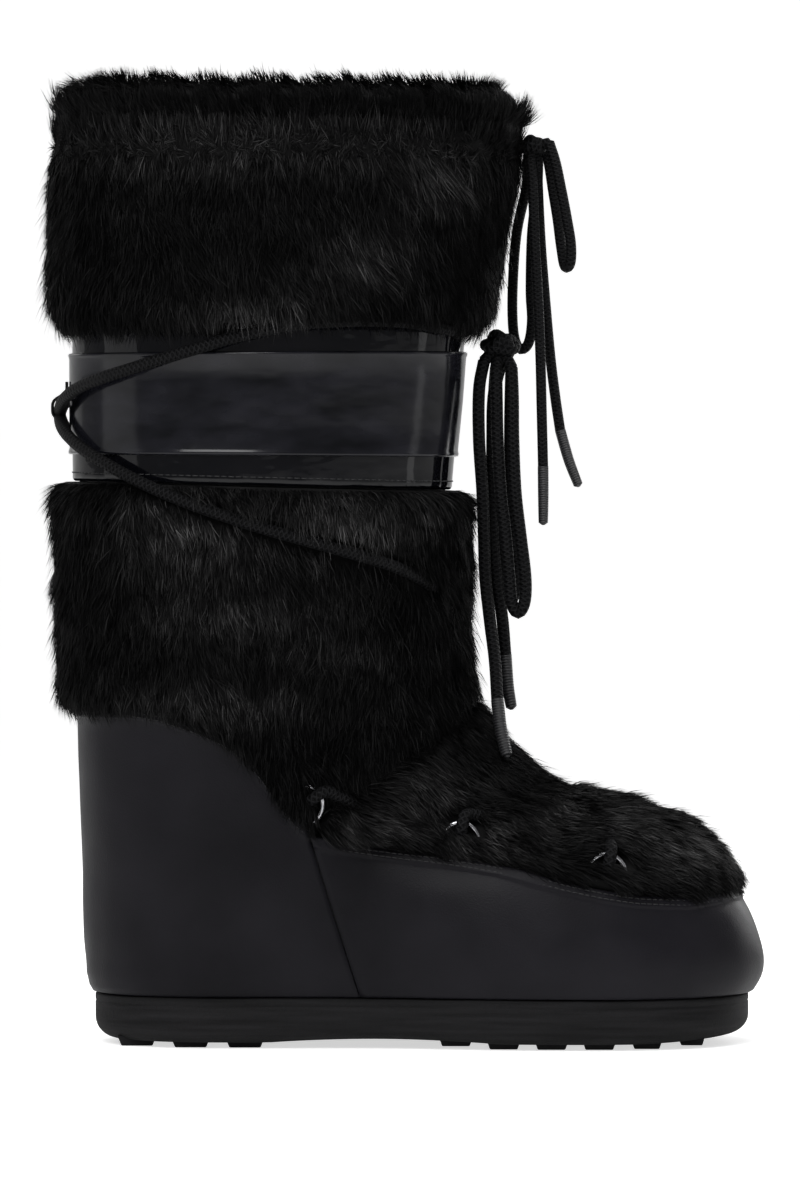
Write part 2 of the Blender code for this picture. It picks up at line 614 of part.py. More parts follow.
def make_ankle_fur(cutters):
    """The fur round the ankle, from the heel shell and the throat to the band."""
    theta = round_columns()
    low = place_under(theta, edge(HEEL_EDGE + THROAT[1:], 2 * GAP))
    high = place_under(theta, edge(BAND_LOW, -GAP))
    shares = (0, 0.06, 0.2, 0.36, 0.52, 0.68, 0.84, 0.95, 1)
    fur = mesh_object("ankle_fur", lofted(*fur_rows(theta, low, high, FUR_DEEP, shares)), FUR)
    cut(fur, cutters)


def make_band():
    """The glossy band round the shaft, and the raised strip on it."""
    theta = round_columns()
    low = place_under(theta, edge(BAND_LOW))
    high = place_under(theta, edge(BAND_HIGH, -GAP))
    outer = [(0, 0.6), (0.03, 1), (0.5, 1), (1, 1)]
    rows = [skin(theta, low + (high - low) * share, LAY + BAND_WALL * lift) for share, lift in outer]
    mesh_object("band", lofted(rows, lay_rows(theta, low, high)), PATENT)
    seat = LAY + BAND_WALL + GAP
    low = place_under(theta, edge(STRIP_LOW))
    high = place_under(theta, edge(STRIP_HIGH))
    face = [(0, seat + STRIP_WALL * 0.7), (0.04, seat + STRIP_WALL), (0.96, seat + STRIP_WALL),
            (1, seat + STRIP_WALL * 0.7), (1, seat), (0, seat)]
    rows = [skin(theta, low + (high - low) * share, lift) for share, lift in face]
    mesh_object("band_strip", lofted(rows, []), PATENT)


def rim_row(theta, lift, rise):
    """Points beside or over the collar: lift outward from the liner, rise over its last ring."""
    n = normal(theta, TOP + 0 * theta)
    n[:, 2] = 0
    n /= np.linalg.norm(n, axis=1, keepdims=True)
    points = form(theta, TOP + 0 * theta) + n * lift
    points[:, 2] += rise
    return points


def make_cuff(cutters):
    """The deep fur cuff, with its drawcord groove and the ruffle over the collar."""
    theta = round_columns()
    low = place_under(theta, edge(BAND_HIGH))
    top = TOP + 0 * theta
    face = ((0.00, 0.62), (0.07, 0.95), (0.22, 1.0), (0.38, 1.0), (0.54, 1.0), (0.70, 1.0), (0.85, 1.0))
    rows = []
    for row, (share, bulge) in enumerate(face):
        strength = 0.0 if row == 0 else 1.0
        rows.append(locked(theta, low + (top - low) * share, LAY + CUFF_DEEP * bulge, row, strength))
    rows.append(skin(theta, low + (top - low) * 0.945, LAY + CUFF_DEEP * 0.72))
    rows.append(rim_row(theta, CUFF_DEEP * 1.0, -0.0020))
    ruffle = ((0.88, 0.0045), (0.52, 0.0095), (0.0, 0.0118), (-0.45, 0.0112), (-0.72, 0.0075))
    for row, (bulge, rise) in enumerate(ruffle):
        points = rim_row(theta, CUFF_DEEP * bulge, rise)
        tip = (np.arange(COLUMNS) + 2 * row) % 3 == 0
        points[:, 2] += np.where(tip & (row in (1, 2)), LOCK_RISE, 0)
        rows.append(points)
    half = LINER_WALL / 2
    rows.append(rim_row(theta, -half - 0.0008, half + LAY))
    rows.append(rim_row(theta, -half * 0.25, half + LAY - 0.0002))
    rows.append(rim_row(theta, LAY, LINER_WALL * 0.2))
    cuff = mesh_object("cuff_fur", lofted(rows, lay_rows(theta, low, top)), FUR)
    cut(cuff, cutters)


def smooth_curve(points, step):
    """Points at even steps along a smooth curve through the given ones."""
    points = np.asarray(points, float)
    ends = np.vstack([2 * points[0] - points[1], points, 2 * points[-1] - points[-2]])
    fine = []
    for k in range(len(points) - 1):
        a, b, c, d = ends[k:k + 4]
        for f in np.linspace(0, 1, 24, endpoint=False):
            fine.append(b + 0.5 * f * (c - a) + f**2 * (a - 2.5 * b + 2 * c - 0.5 * d)
                        + f**3 * (1.5 * b - 0.5 * a - 1.5 * c + 0.5 * d))
    fine = np.array(fine + [points[-1]])
    return evenly(fine, step)


def evenly(fine, step):
    """The same line with its points at even steps."""
    run = np.concatenate([[0], np.cumsum(np.linalg.norm(np.diff(fine, axis=0), axis=1))])
    count = max(2, int(round(run[-1] / step)) + 1)
    at = np.linspace(0, run[-1], count)
    return np.stack([np.interp(at, run, fine[:, k]) for k in range(fine.shape[1])], axis=1)


def tube(bm, points, radius, sides, closed=False, across=None):
    """A tube of flat sides along a line, with its own ends or closed on itself."""
    points = [Vector(p) for p in points]
    count = len(points)
    radius = np.zeros(count) + radius
    side = across
    rings = []
    for k, point in enumerate(points):
        before = points[k - 1] if closed or k else point
        after = points[(k + 1) % count] if closed or k < count - 1 else point
        tangent = (after - before).normalized()
        if side is None:
            side = tangent.orthogonal()
        side = (side - tangent * side.dot(tangent)).normalized()
        other = tangent.cross(side)
        ring = []
        for j in range(sides):
            a = 2 * math.pi * j / sides
            spoke = math.cos(a) * side + math.sin(a) * other
            ring.append(bm.verts.new(point + float(radius[k]) * spoke))
        rings.append(ring)
    pairs = list(zip(rings, rings[1:])) + ([(rings[-1], rings[0])] if closed else [])
    for ring, after in pairs:
        for j in range(sides):
            other = (j + 1) % sides
            bm.faces.new((ring[j], ring[other], after[other], after[j]))
    if not closed:
        bm.faces.new(rings[0][::-1])
        bm.faces.new(rings[-1])


class Eyelet:
    """The place of one D-ring: its own axes on the form, along the shell's edge, up and out."""

    def __init__(self, index, side):
        share, level = EYELETS[index - 1]
        x, z = share * BOOT_LENGTH, float(height(level))
        theta, v = place_at(x, z)
        ahead_theta, ahead_v = place_at(x + 0.004, z + self.slope(x) * 0.004)
        flip = np.array([1.0, side, 1.0])
        self.root = Vector(form(theta, v) * flip)
        self.out = Vector(normal(theta, v) * flip).normalized()
        along = Vector(form(ahead_theta, ahead_v) * flip) - self.root
        self.along = (along - self.out * along.dot(self.out)).normalized()
        self.up = self.out.cross(self.along).normalized()
        if self.up.z < 0:
            self.up.negate()
        self.index = index
        self.side = side
        self.name = f"{index}_{'near' if side < 0 else 'far'}"

    @staticmethod
    def slope(x):
        """Slope of the shells' upper edge at x."""
        if x < SHELL_SEAM[0][0] * BOOT_LENGTH:
            line = edge(HEEL_EDGE)
            return float((line(x - 0.002) - line(x - 0.010)) / 0.008)
        line = edge(TOE_EDGE)
        return float((line(x + 0.004) - line(x - 0.004)) / 0.008)

    def at(self, along, up, out):
        """A point in the eyelet's own axes."""
        return self.root + self.along * along + self.up * up + self.out * out


BAR_OUT = 0.0031  # height over the liner of a ring's straight bar
ARC_OUT = 0.0082  # height of the top of its arc


def ring_line(eyelet):
    """The middle line of a D-ring: a straight bar and a round arc."""
    half = (RING_WIDE - RING_WIRE) / 2
    points = [(-half, 0.0), (-half * 0.33, 0.0), (half * 0.33, 0.0), (half, 0.0)]
    for turn in (12, 52, 90, 128, 168):
        a = math.radians(turn)
        points.append((half * math.cos(a) * 1.02, 0.0016 + (RING_TALL - 0.0016) * math.sin(a)))
    line = []
    for along, up in points:
        out = BAR_OUT + (ARC_OUT - BAR_OUT) * up / RING_TALL
        line.append(eyelet.at(along, up, out))
    return line


def make_rings(eyelets):
    """The D-rings and the tabs that hold their bars."""
    for eyelet in eyelets:
        bm = bmesh.new()
        tube(bm, ring_line(eyelet), RING_WIRE / 2, 5, closed=True)
        mesh_object(f"ring_{eyelet.name}", bm, DARK_CHROME)
        hole = RING_WIRE / 2 * 1.16 + GAP
        outer = hole + 0.0009
        rows = []
        for radius, along in ((outer, -0.0045), (outer, 0.0045), (hole, 0.0045), (hole, -0.0045)):
            row = []
            for j in range(6):
                a = 2 * math.pi * (j + 0.5) / 6
                row.append(eyelet.at(along, radius * math.sin(a), BAR_OUT + radius * math.cos(a)))
            rows.append(row)
        mesh_object(f"ring_tab_{eyelet.name}", lofted(rows, []), LINING)


def niche(eyelet):
    """The room in the fur for one ring."""
    bm = bmesh.new()
    rows = []
    for out, spread in ((0.0002, 0.9), (0.0080, 1.0), (0.0250, 1.25)):
        row = []
        for j in range(10):
            a = 2 * math.pi * j / 10
            along = (RING_WIDE / 2 + 0.0030) * spread * math.cos(a)
            up = 0.0040 + (RING_TALL / 2 + 0.0070) * spread * math.sin(a)
            row.append(bm.verts.new(eyelet.at(along, up, out)))
        rows.append(row)
    for row, after in zip(rows, rows[1:]):
        for j in range(10):
            bm.faces.new((row[j], row[(j + 1) % 10], after[(j + 1) % 10], after[j]))
    bm.faces.new(rows[0])
    bm.faces.new(rows[-1])
    return mesh_object(f"niche_{eyelet.name}", bm, None)


PRESS = 0.0030  # how far the middle of the groove's round bottom lies over the lace's
OVER = ((0.0150, 0.0126), (0.0105, 0.0128), (0.0062, 0.0108), (0.0048, 0.0076), (0.0058, 0.0050))
UNDER = ((0.0058, 0.0050), (0.0095, 0.0034), (0.0140, 0.0044))


def route(points, start=None, stop=None, flip=1, sink=0.0):
    """The middle line of one run of the lace over the form, from one eyelet to another, and beside
    each point how far out from it the groove in the fur has its middle."""
    rows = []
    last = None
    for point in points:
        x, z = point.x * BOOT_LENGTH, float(height(point.level))
        theta, v = place_at(x, z)
        theta *= point.side
        if last is not None:
            theta += 2 * math.pi * round((last - theta) / (2 * math.pi))
        last = theta
        rows.append((theta, v, LAY + point.lift * FUR_DEEP))
    rows = smooth_curve(rows, 0.02)
    front = np.clip(-np.cos(rows[:, 0]), 0, 1)
    lift = rows[:, 2] - sink * front * np.exp(-((np.sin(rows[:, 0]) / 0.35) ** 2))
    line = skin(rows[:, 0], rows[:, 1], lift)
    line = np.hstack([line, PRESS * normal(rows[:, 0], rows[:, 1])])
    if start is not None:
        line = np.vstack([start, line])
    if stop is not None:
        line = np.vstack([line, stop])
    line[:, (1, 4)] *= flip
    return line


def eyelet_run(eyelet, table, inward):
    """Points of the lace at one ring, read toward the ring or away from it."""
    run = [(*eyelet.at(0.0, up, out), *(eyelet.out * PRESS * 0.2)) for up, out in table]
    return np.array(run if inward else run[::-1])


def eased(line, turn, longest):
    """The same line with points close together where it turns and far apart where it runs straight."""
    fine = evenly(line, 0.0015)
    kept = [fine[0]]
    last = 0
    for k in range(1, len(fine) - 1):
        before = Vector(fine[k, :3] - fine[k - 1, :3])
        start = Vector(fine[last + 1, :3] - fine[last, :3])
        run = (k - last) * 0.0015
        if (before.angle(start) > turn and run > 0.0025) or run > longest:
            kept.append(fine[k])
            last = k
    if (len(fine) - last) * 0.0015 < 0.004:
        kept.pop()
    return np.array(kept + [fine[-1]])


def lace_lines(eyelets):
    """The middle lines of all the runs of the lace."""
    near = {eyelet.index: eyelet for eyelet in eyelets if eyelet.side < 0}
    far = {eyelet.index: eyelet for eyelet in eyelets if eyelet.side > 0}
    lines = [route(BAR, eyelet_run(near[3], OVER, False), eyelet_run(far[3], OVER, True))]
    for flip, sink in ((1, 0.0), (-1, 0.0022)):
        lines.append(route(CROSS_LOW, eyelet_run(near[3], UNDER, True), eyelet_run(far[2], OVER, True),
                           flip, sink))
        lines.append(route(CROSS_HIGH, eyelet_run(near[2], UNDER, True), eyelet_run(far[1], OVER, True),
                           flip, sink))
        lines.append(route(WRAP, eyelet_run(near[1], UNDER, True), None, flip, sink))
    fine = [smooth_curve(evenly(line, 0.004), 0.001) for line in lines]
    return [eased(line, math.radians(30), LACE_WIDE * 3.0) for line in fine]


def make_lace(lines):
    """The lace over the instep and round the leg, with its crossings joined."""
    parts = []
    for index, line in enumerate(lines):
        bm = bmesh.new()
        tube(bm, line[:, :3], LACE_WIDE / 2, 5)
        name, look = (f"lace_run_{index}", None) if index else ("lace", BRAID)
        parts.append(mesh_object(name, bm, look))
    cut(parts[0], parts[1:], "UNION")


def lace_grooves(lines):
    """Fat tubes that press the lace's path into the fur."""
    grooves = []
    for index, line in enumerate(lines):
        bm = bmesh.new()
        press = np.linalg.norm(line[:, 3:], axis=1)
        bottom = (LACE_WIDE / 2 + GAP + press) / math.cos(math.pi / 6)
        tube(bm, line[:, :3] + line[:, 3:], bottom, 6)
        grooves.append(mesh_object(f"groove_{index}", bm, None))
    return grooves


def cord(name, points, wide, look, step=3.0):
    """A round cord along a smooth curve through hand-chosen points."""
    line = smooth_curve(points, wide * step)
    curve = bpy.data.curves.new(name, "CURVE")
    curve.dimensions = "3D"
    curve.bevel_depth = wide / 2
    curve.bevel_resolution = 2
    curve.use_fill_caps = True
    spline = curve.splines.new("POLY")
    spline.points.add(len(line) - 1)
    for target, point in zip(spline.points, line):
        target.co = (*point, 1.0)
    return add_object(name, curve, look)


def knot(name, centre, wide, tall, look):
    """A knot as one rounded lump."""
    bm = bmesh.new()
    bmesh.ops.create_uvsphere(bm, u_segments=10, v_segments=6, radius=0.5)
    for vert in bm.verts:
        vert.co = Vector((vert.co.x * wide, vert.co.y * wide, vert.co.z * tall)) + Vector(centre)
    return mesh_object(name, bm, look)


def make_cords():
    """The bow of the lace and the drawcord at the collar."""
    knot("lace_knot", KNOT_AT, KNOT_WIDE, KNOT_WIDE, BRAID)
    cord("lace_loop_near", LACE_LOOP_NEAR, LACE_WIDE, BRAID, 2.0)
    cord("lace_loop_far", LACE_LOOP_FAR, LACE_WIDE, BRAID, 2.0)
    cord("lace_end_near", LACE_END_NEAR, LACE_WIDE, BRAID)
    cord("lace_end_far", LACE_END_FAR, LACE_WIDE, BRAID)
    cord("lace_tip_near", LACE_TIP_NEAR, LACE_WIDE * 0.85, TIP)
    cord("lace_tip_far", LACE_TIP_FAR, LACE_WIDE * 0.85, TIP)
    knot("drawcord_knot", TOGGLE_AT, TOGGLE_WIDE, TOGGLE_WIDE * 0.9, BRAID)
    cord("drawcord_loop_near", DRAW_LOOP_NEAR, CORD_WIDE, BRAID, 2.0)
    cord("drawcord_loop_far", DRAW_LOOP_FAR, CORD_WIDE, BRAID, 2.2)
    cord("drawcord_end_low", DRAW_END_LOW, CORD_WIDE, BRAID)
    cord("drawcord_end_high", DRAW_END_HIGH, CORD_WIDE, BRAID)
    cord("drawcord_tip_low", DRAW_TIP_LOW, CORD_WIDE * 1.1, TIP)
    cord("drawcord_tip_high", DRAW_TIP_HIGH, CORD_WIDE * 1.1, TIP)


def make_back_loop():
    """The strap at the back of the band that holds the crossing of the lace."""
    seat = LAY + BAND_WALL + GAP + STRIP_WALL + GAP
    over = seat + LACE_WIDE + 4 * GAP
    inner = [(1.446, seat), (1.466, over), (1.530, over), (1.550, seat)]
    outer = [(1.446, seat + LOOP_STRAP), (1.463, over + LOOP_STRAP), (1.533, over + LOOP_STRAP),
             (1.550, seat + LOOP_STRAP)]
    section = inner + outer[::-1]
    bm = bmesh.new()
    sides = []
    for y in (-LOOP_WIDE / 2, LOOP_WIDE / 2):
        side = []
        for level, lift in section:
            _, v = place_at(-0.5 * BOOT_LENGTH, float(height(level)))
            point = skin(np.array(0.0), np.array(v), np.array(lift))
            side.append(bm.verts.new((point[0], y, float(height(level)))))
        sides.append(side)
    count = len(section)
    for k in range(count):
        other = (k + 1) % count
        bm.faces.new((sides[0][k], sides[0][other], sides[1][other], sides[1][k]))
    bm.faces.new(sides[0][::-1])
    bm.faces.new(sides[1])
    mesh_object("back_loop", bm, LINING)


def make_eyelets():
    """The places of the D-rings, in pairs from the ankle to the toe."""
    return [Eyelet(index, side) for index in range(1, len(EYELETS) + 1) for side in (-1, 1)]


def main():
    clear_scene()
    eyelets = make_eyelets()
    lines = lace_lines(eyelets)
    make_outsole()
    make_insole()
    make_liner()
    make_shells()
    make_band()
    make_rings(eyelets)
    make_lace(lines)
    grooves = lace_grooves(lines)
    niches = [niche(eyelet) for eyelet in eyelets]
    toggle_room = knot("toggle_room", TOGGLE_AT, TOGGLE_WIDE + 4 * GAP, TOGGLE_WIDE + 4 * GAP, None)
    make_foot_fur(niches + grooves)
    make_ankle_fur(niches[:2] + [grooves[k] for k in (3, 6, 2, 5)])
    make_cuff([grooves[3], grooves[6], toggle_room])
    make_back_loop()
    make_cords()
    for obj in bpy.data.objects:
        obj.data.transform(Matrix.Translation((SOLE_AHEAD, 0.0, 0.0)))


main()
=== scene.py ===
"""Looks of the apres ski boot: smooth moulded shells, a rubber sole, deep fur, a glossy band, a
braided lace run through its D-rings, and the drawcord of the collar.

Metres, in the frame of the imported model: +X to the toe, +Z up, the photographed side at -Y.
"""

import logging
import math
from dataclasses import dataclass, field
from enum import Enum
from typing import Callable, Iterable, Sequence

import bpy
import numpy as np
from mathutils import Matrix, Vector
from mathutils.kdtree import KDTree

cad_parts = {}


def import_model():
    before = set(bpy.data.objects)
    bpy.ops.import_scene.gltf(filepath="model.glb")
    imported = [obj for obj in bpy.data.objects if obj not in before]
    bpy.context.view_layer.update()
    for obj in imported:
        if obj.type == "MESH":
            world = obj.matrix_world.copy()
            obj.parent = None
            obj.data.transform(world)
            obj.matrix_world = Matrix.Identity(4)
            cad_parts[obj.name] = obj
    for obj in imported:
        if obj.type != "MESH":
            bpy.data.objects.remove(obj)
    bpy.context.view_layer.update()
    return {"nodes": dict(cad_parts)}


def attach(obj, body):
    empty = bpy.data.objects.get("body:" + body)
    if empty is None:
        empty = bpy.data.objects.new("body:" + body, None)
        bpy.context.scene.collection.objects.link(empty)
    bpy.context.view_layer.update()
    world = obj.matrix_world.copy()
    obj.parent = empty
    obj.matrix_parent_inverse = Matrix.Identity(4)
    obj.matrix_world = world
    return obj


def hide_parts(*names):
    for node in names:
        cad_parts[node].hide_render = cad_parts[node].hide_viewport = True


LOG = logging.getLogger("boot")
Array = np.ndarray
Tube = tuple[Array, Array, Array]  # points, faces and UVs
Flow = Callable[[Array], Array]  # from points to directions
Height = Callable[[Array], Array]  # from x to z
Grid = Callable[[int, int], tuple[Array, Array, Array]]  # from rows and columns to theta, v and lift

BOOT_LENGTH = 0.300
BALL_WIDTH = 0.127
SHAFT_WIDTH = 0.120
SOLE_THICK = 0.0227
ANKLE_RISE = 0.127
SHAFT_RISE = 0.265
SOLE_AHEAD = 0.0090  # the tables are written from the middle of the sole, this far ahead
TREAD_DEEP = 0.0024
SOLE_MARGIN = 0.0030
SOLE_ROUND = 0.0095
ARCH_RISE = 0.0018
TOE_SPRING = 0.0030
SHELL_WALL = 0.0032
RAND_STEP = 0.0009
RAND_TALL = 0.0052
FUR_DEEP = 0.0120
CUFF_DEEP = 0.0127
BAND_WALL = 0.0022
STRIP_WALL = 0.0013
THREAD = 0.00028  # radius
LACE_WIDE = 0.0055
CORD_WIDE = 0.0046
RING_WIRE = 0.0023
RING_WIDE = 0.0200
RING_TALL = 0.0110
GAP = 0.0003
LAY = 0.0007

# back x, back level, front x, front level, rear, fore, waist, heel round, toe round
FORM = (
    (-0.479, 0.000, 0.470, 0.000, 0.745, 0.930, 0.06, 0.19, 0.25),
    (-0.488, 0.055, 0.489, 0.079, 0.780, 0.985, 0.06, 0.19, 0.25),
    (-0.489, 0.110, 0.485, 0.177, 0.792, 1.000, 0.05, 0.19, 0.25),
    (-0.491, 0.173, 0.462, 0.307, 0.803, 0.970, 0.05, 0.19, 0.26),
    (-0.492, 0.236, 0.417, 0.441, 0.813, 0.900, 0.04, 0.20, 0.29),
    (-0.493, 0.307, 0.357, 0.539, 0.825, 0.790, 0.02, 0.21, 0.33),
    (-0.494, 0.402, 0.270, 0.602, 0.842, 0.710, 0.01, 0.23, 0.40),
    (-0.496, 0.520, 0.187, 0.646, 0.860, 0.685, 0.00, 0.26, 0.45),
    (-0.498, 0.661, 0.120, 0.748, 0.885, 0.710, 0.00, 0.31, 0.47),
    (-0.501, 0.819, 0.070, 0.906, 0.910, 0.755, 0.00, 0.37, 0.50),
    (-0.503, 1.000, 0.037, 1.038, 0.935, 0.820, 0.00, 0.44, 0.50),
    (-0.505, 1.113, 0.028, 1.136, 0.960, 0.875, 0.00, 0.48, 0.50),
    (-0.507, 1.234, 0.028, 1.242, 0.985, 0.915, 0.00, 0.50, 0.50),
    (-0.512, 1.362, 0.030, 1.362, 1.000, 0.937, 0.00, 0.50, 0.50),
    (-0.513, 1.509, 0.042, 1.509, 1.000, 0.945, 0.00, 0.50, 0.50),
    (-0.513, 1.649, 0.053, 1.649, 1.000, 0.945, 0.00, 0.50, 0.50),
    (-0.513, 1.792, 0.077, 1.785, 1.000, 0.945, 0.00, 0.50, 0.50),
    (-0.510, 1.906, 0.097, 1.898, 1.000, 0.945, 0.00, 0.50, 0.50),
    (-0.500, 2.000, 0.103, 1.992, 0.980, 0.930, 0.00, 0.50, 0.50),
)
TOP = len(FORM) - 1
BLUNT = 2.15

# Edges as seen from the side: (x as a share of the length, level)
HEEL_EDGE = (
    (-0.520, 1.000), (-0.423, 1.002), (-0.383, 0.989), (-0.335, 0.950), (-0.295, 0.906),
    (-0.263, 0.849), (-0.236, 0.772), (-0.212, 0.688), (-0.190, 0.622), (-0.171, 0.585),
)
TOE_EDGE = (
    (-0.171, 0.562), (-0.120, 0.535), (-0.037, 0.502), (0.022, 0.484), (0.107, 0.449),
    (0.205, 0.390), (0.260, 0.362), (0.303, 0.345), (0.378, 0.331), (0.458, 0.351),
)
SHELL_SEAM = ((-0.171, 0.559), (-0.095, 0.008))
SEAM_ROWS = 7.0  # the seam ends below this row of the form
THROAT = ((-0.171, 0.585), (-0.117, 0.701), (-0.040, 0.827), (0.020, 0.929), (0.043, 1.000))
BAND_LOW = ((-0.520, 1.377), (0.040, 1.362))
BAND_HIGH = ((-0.520, 1.640), (0.060, 1.640))
STRIP_LOW = ((-0.520, 1.421), (0.045, 1.418))
STRIP_HIGH = ((-0.520, 1.590), (0.055, 1.594))

# The lace: x share, level, side and lift as a share of the fur's depth
EYELETS = ((-0.188, 0.661), (0.049, 0.500), (0.261, 0.392))
BAR = ((0.262, 0.500, -1, 1.00), (0.262, 0.596, -1, 1.00), (0.262, 0.596, 1, 1.00),
       (0.262, 0.500, 1, 1.00))
CROSS_LOW = ((0.255, 0.520, -1, 0.80), (0.215, 0.610, -1, 0.95), (0.180, 0.634, 1, 1.00),
             (0.115, 0.585, 1, 0.92))
CROSS_HIGH = ((0.055, 0.610, -1, 0.75), (0.105, 0.710, -1, 0.92), (0.112, 0.762, 1, 1.00),
              (0.060, 0.700, 1, 0.92), (-0.080, 0.640, 1, 0.88))
WRAP = (
    (-0.130, 0.720, -1, 0.80), (-0.030, 0.900, -1, 0.88), (0.028, 1.060, -1, 0.95),
    (0.020, 1.160, 1, 0.92), (-0.040, 1.225, 1, 0.88), (-0.138, 1.268, 1, 0.88),
    (-0.237, 1.302, 1, 0.86), (-0.344, 1.346, 1, 0.80), (-0.440, 1.400, 1, 0.66),
    (-0.500, 1.452, 1, 0.65), (-0.500, 1.520, -1, 0.65), (-0.418, 1.562, -1, 0.65),
    (-0.333, 1.594, -1, 0.64), (-0.270, 1.616, -1, 0.55), (-0.175, 1.638, -1, 0.53),
    (-0.060, 1.643, -1, 0.53), (0.020, 1.630, -1, 0.56),
)
BURIED = 0.0054  # how far the lace sinks into the fur of the foot
BURIED_FLOOR = 0.0038
BURIED_BELOW = 0.205
BURIED_BLEND = 0.016
CROSSING_SINK = 0.0022  # how far one of two crossing runs dips under the other
LACE_SIDES = 11
LACE_STEP = 0.0013
RING_SIDES = 12
RING_STEP = 0.0007
BAR_OUT = 0.0031
ARC_OUT = 0.0082
OVER = ((0.0138, 0.0112), (0.0108, 0.0124), (0.0066, 0.0110), (0.0048, 0.0076), (0.0058, 0.0050))
UNDER = ((0.0058, 0.0050), (0.0095, 0.0034), (0.0140, 0.0044))

# Painted sheen in the fur: soft grey places where light glances off the fibres, as seen from the
# side: x and z, reach along each, and weight
SHEEN_SPOTS = (
    (-0.036, 0.232, 0.022, 0.012, 1.0), (-0.105, 0.232, 0.030, 0.016, 0.6),
    (-0.085, 0.196, 0.034, 0.010, 0.45), (-0.095, 0.158, 0.040, 0.008, 0.5),
    (-0.040, 0.180, 0.030, 0.008, 0.25), (-0.075, 0.325, 0.028, 0.008, 0.8),
    (-0.028, 0.352, 0.020, 0.012, 0.45), (0.004, 0.385, 0.016, 0.010, 0.6),
    (-0.110, 0.396, 0.040, 0.007, 0.35), (-0.050, 0.398, 0.050, 0.006, 0.35),
    (0.118, 0.092, 0.026, 0.012, 1.0), (0.070, 0.104, 0.022, 0.009, 0.8),
    (0.000, 0.117, 0.022, 0.009, 0.45), (-0.030, 0.099, 0.024, 0.007, 0.45),
    (0.030, 0.094, 0.020, 0.007, 0.5), (0.000, 0.240, 0.012, 0.006, 0.5),
)

# The fibres: lengths in metres, the rest as shares
CLUMP = 45  # fibres in a clump
STRAYS = 0.035
STAND = (0.07, 0.52)  # least and most that a fibre stands away from the skin
BLADE = (0.00014, 0.00006)  # half a fibre's width: the least, and what chance adds
TROUGH = (0.0042, 0.0065)  # of the backing along the lace: depth and reach
FURROW = (0.0010, 0.0042)  # of the fibres over the sunk lace: depth and reach
CLEAR_OF_LACE = 0.0034
CLEAR_OF_RINGS = 0.0028
ROOTS_OFF_LACE = 0.0044
ROOTS_OFF_RINGS = 0.0040
ROOTS_SUNK = 0.0007
BACKING_TONE = 0.03
BACKING_GRID = (32, 156)
SOWING_GRID = (90, 260)
RUFFLE_COLUMNS = 220
RUFFLE_FIBRES = 15000
ANKLE_EDGE_SPAN = (0.91, 1.0)  # of the ankle fur's rows, where the short coat of its top edge is sown
GROOVE_SPAN = (0.69, 0.87)  # of the cuff's rows, along the drawcord's groove

# Coats of fibres: the CAD node, the seed, the number and the length in metres
COATS = {
    "instep_fur": ("foot_fur", 31, 49000, 0.0115),
    "ankle_edge": ("ankle_fur", 59, 11000, 0.0075),
    "ankle_coat": ("ankle_fur", 57, 50000, 0.0135),
    "ankle_coat_over": ("ankle_fur", 58, 40000, 0.0145),
    "collar_fur": ("cuff_fur", 83, 48000, 0.0140),
    "collar_fur_over": ("cuff_fur", 84, 36000, 0.0150),
    "collar_groove": ("cuff_fur", 85, 12000, 0.0085),
    "ruffle_fur": ("cuff_fur", 91, RUFFLE_FIBRES, 0.0105),
}

# The lights: name, place, size and power in watts
LAMPS = (
    ("key", (-0.7, -1.9, 1.7), (1.2, 1.2), 31),
    ("left_box", (-1.5, -0.35, 0.5), (0.8, 1.3), 2),
    ("right_strip", (1.5, -0.22, 0.55), (0.20, 1.3), 0.7),
    ("top", (0.1, -0.3, 1.8), (1.2, 1.2), 18),
    ("back_left", (-1.1, 1.2, 0.9), (0.6, 1.2), 1.5),
    ("back_right", (1.05, 1.25, 0.8), (0.6, 1.2), 8),
)

# The bow and the drawcord, in metres from the middle of the sole
KNOT_AT = (0.0335, 0.0, 0.3100)
KNOT_WIDE = 0.0185
DRAW_KNOT_AT = (0.0480, 0.0, 0.3985)
DRAW_KNOT_WIDE = 0.0130
KNOT_SIDES = 12
CORD_SIDES = 14
CORD_STEP = 0.0012
TIP_SIDES = 16
TIP_STEP = 0.0010
LACE_LOOP_NEAR = (
    (0.0385, -0.0052, 0.3000), (0.0390, -0.0080, 0.2870), (0.0392, -0.0088, 0.2680),
    (0.0402, -0.0090, 0.2450), (0.0425, -0.0092, 0.2250), (0.0446, -0.0094, 0.2070),
    (0.0442, -0.0094, 0.1960), (0.0413, -0.0094, 0.1912), (0.0384, -0.0094, 0.1960),
    (0.0374, -0.0094, 0.2070), (0.0358, -0.0092, 0.2250), (0.0335, -0.0090, 0.2450),
    (0.0322, -0.0088, 0.2680), (0.0318, -0.0084, 0.2870), (0.0316, -0.0058, 0.3000),
)
LACE_LOOP_FAR = (
    (0.0385, 0.0052, 0.3000), (0.0382, 0.0085, 0.2870), (0.0380, 0.0098, 0.2680),
    (0.0385, 0.0100, 0.2450), (0.0395, 0.0100, 0.2250), (0.0408, 0.0100, 0.2090),
    (0.0402, 0.0100, 0.2000), (0.0372, 0.0100, 0.1955), (0.0342, 0.0100, 0.2000),
    (0.0336, 0.0100, 0.2090), (0.0325, 0.0100, 0.2250), (0.0310, 0.0098, 0.2450),
    (0.0308, 0.0096, 0.2680), (0.0308, 0.0088, 0.2870), (0.0316, 0.0058, 0.3000),
)
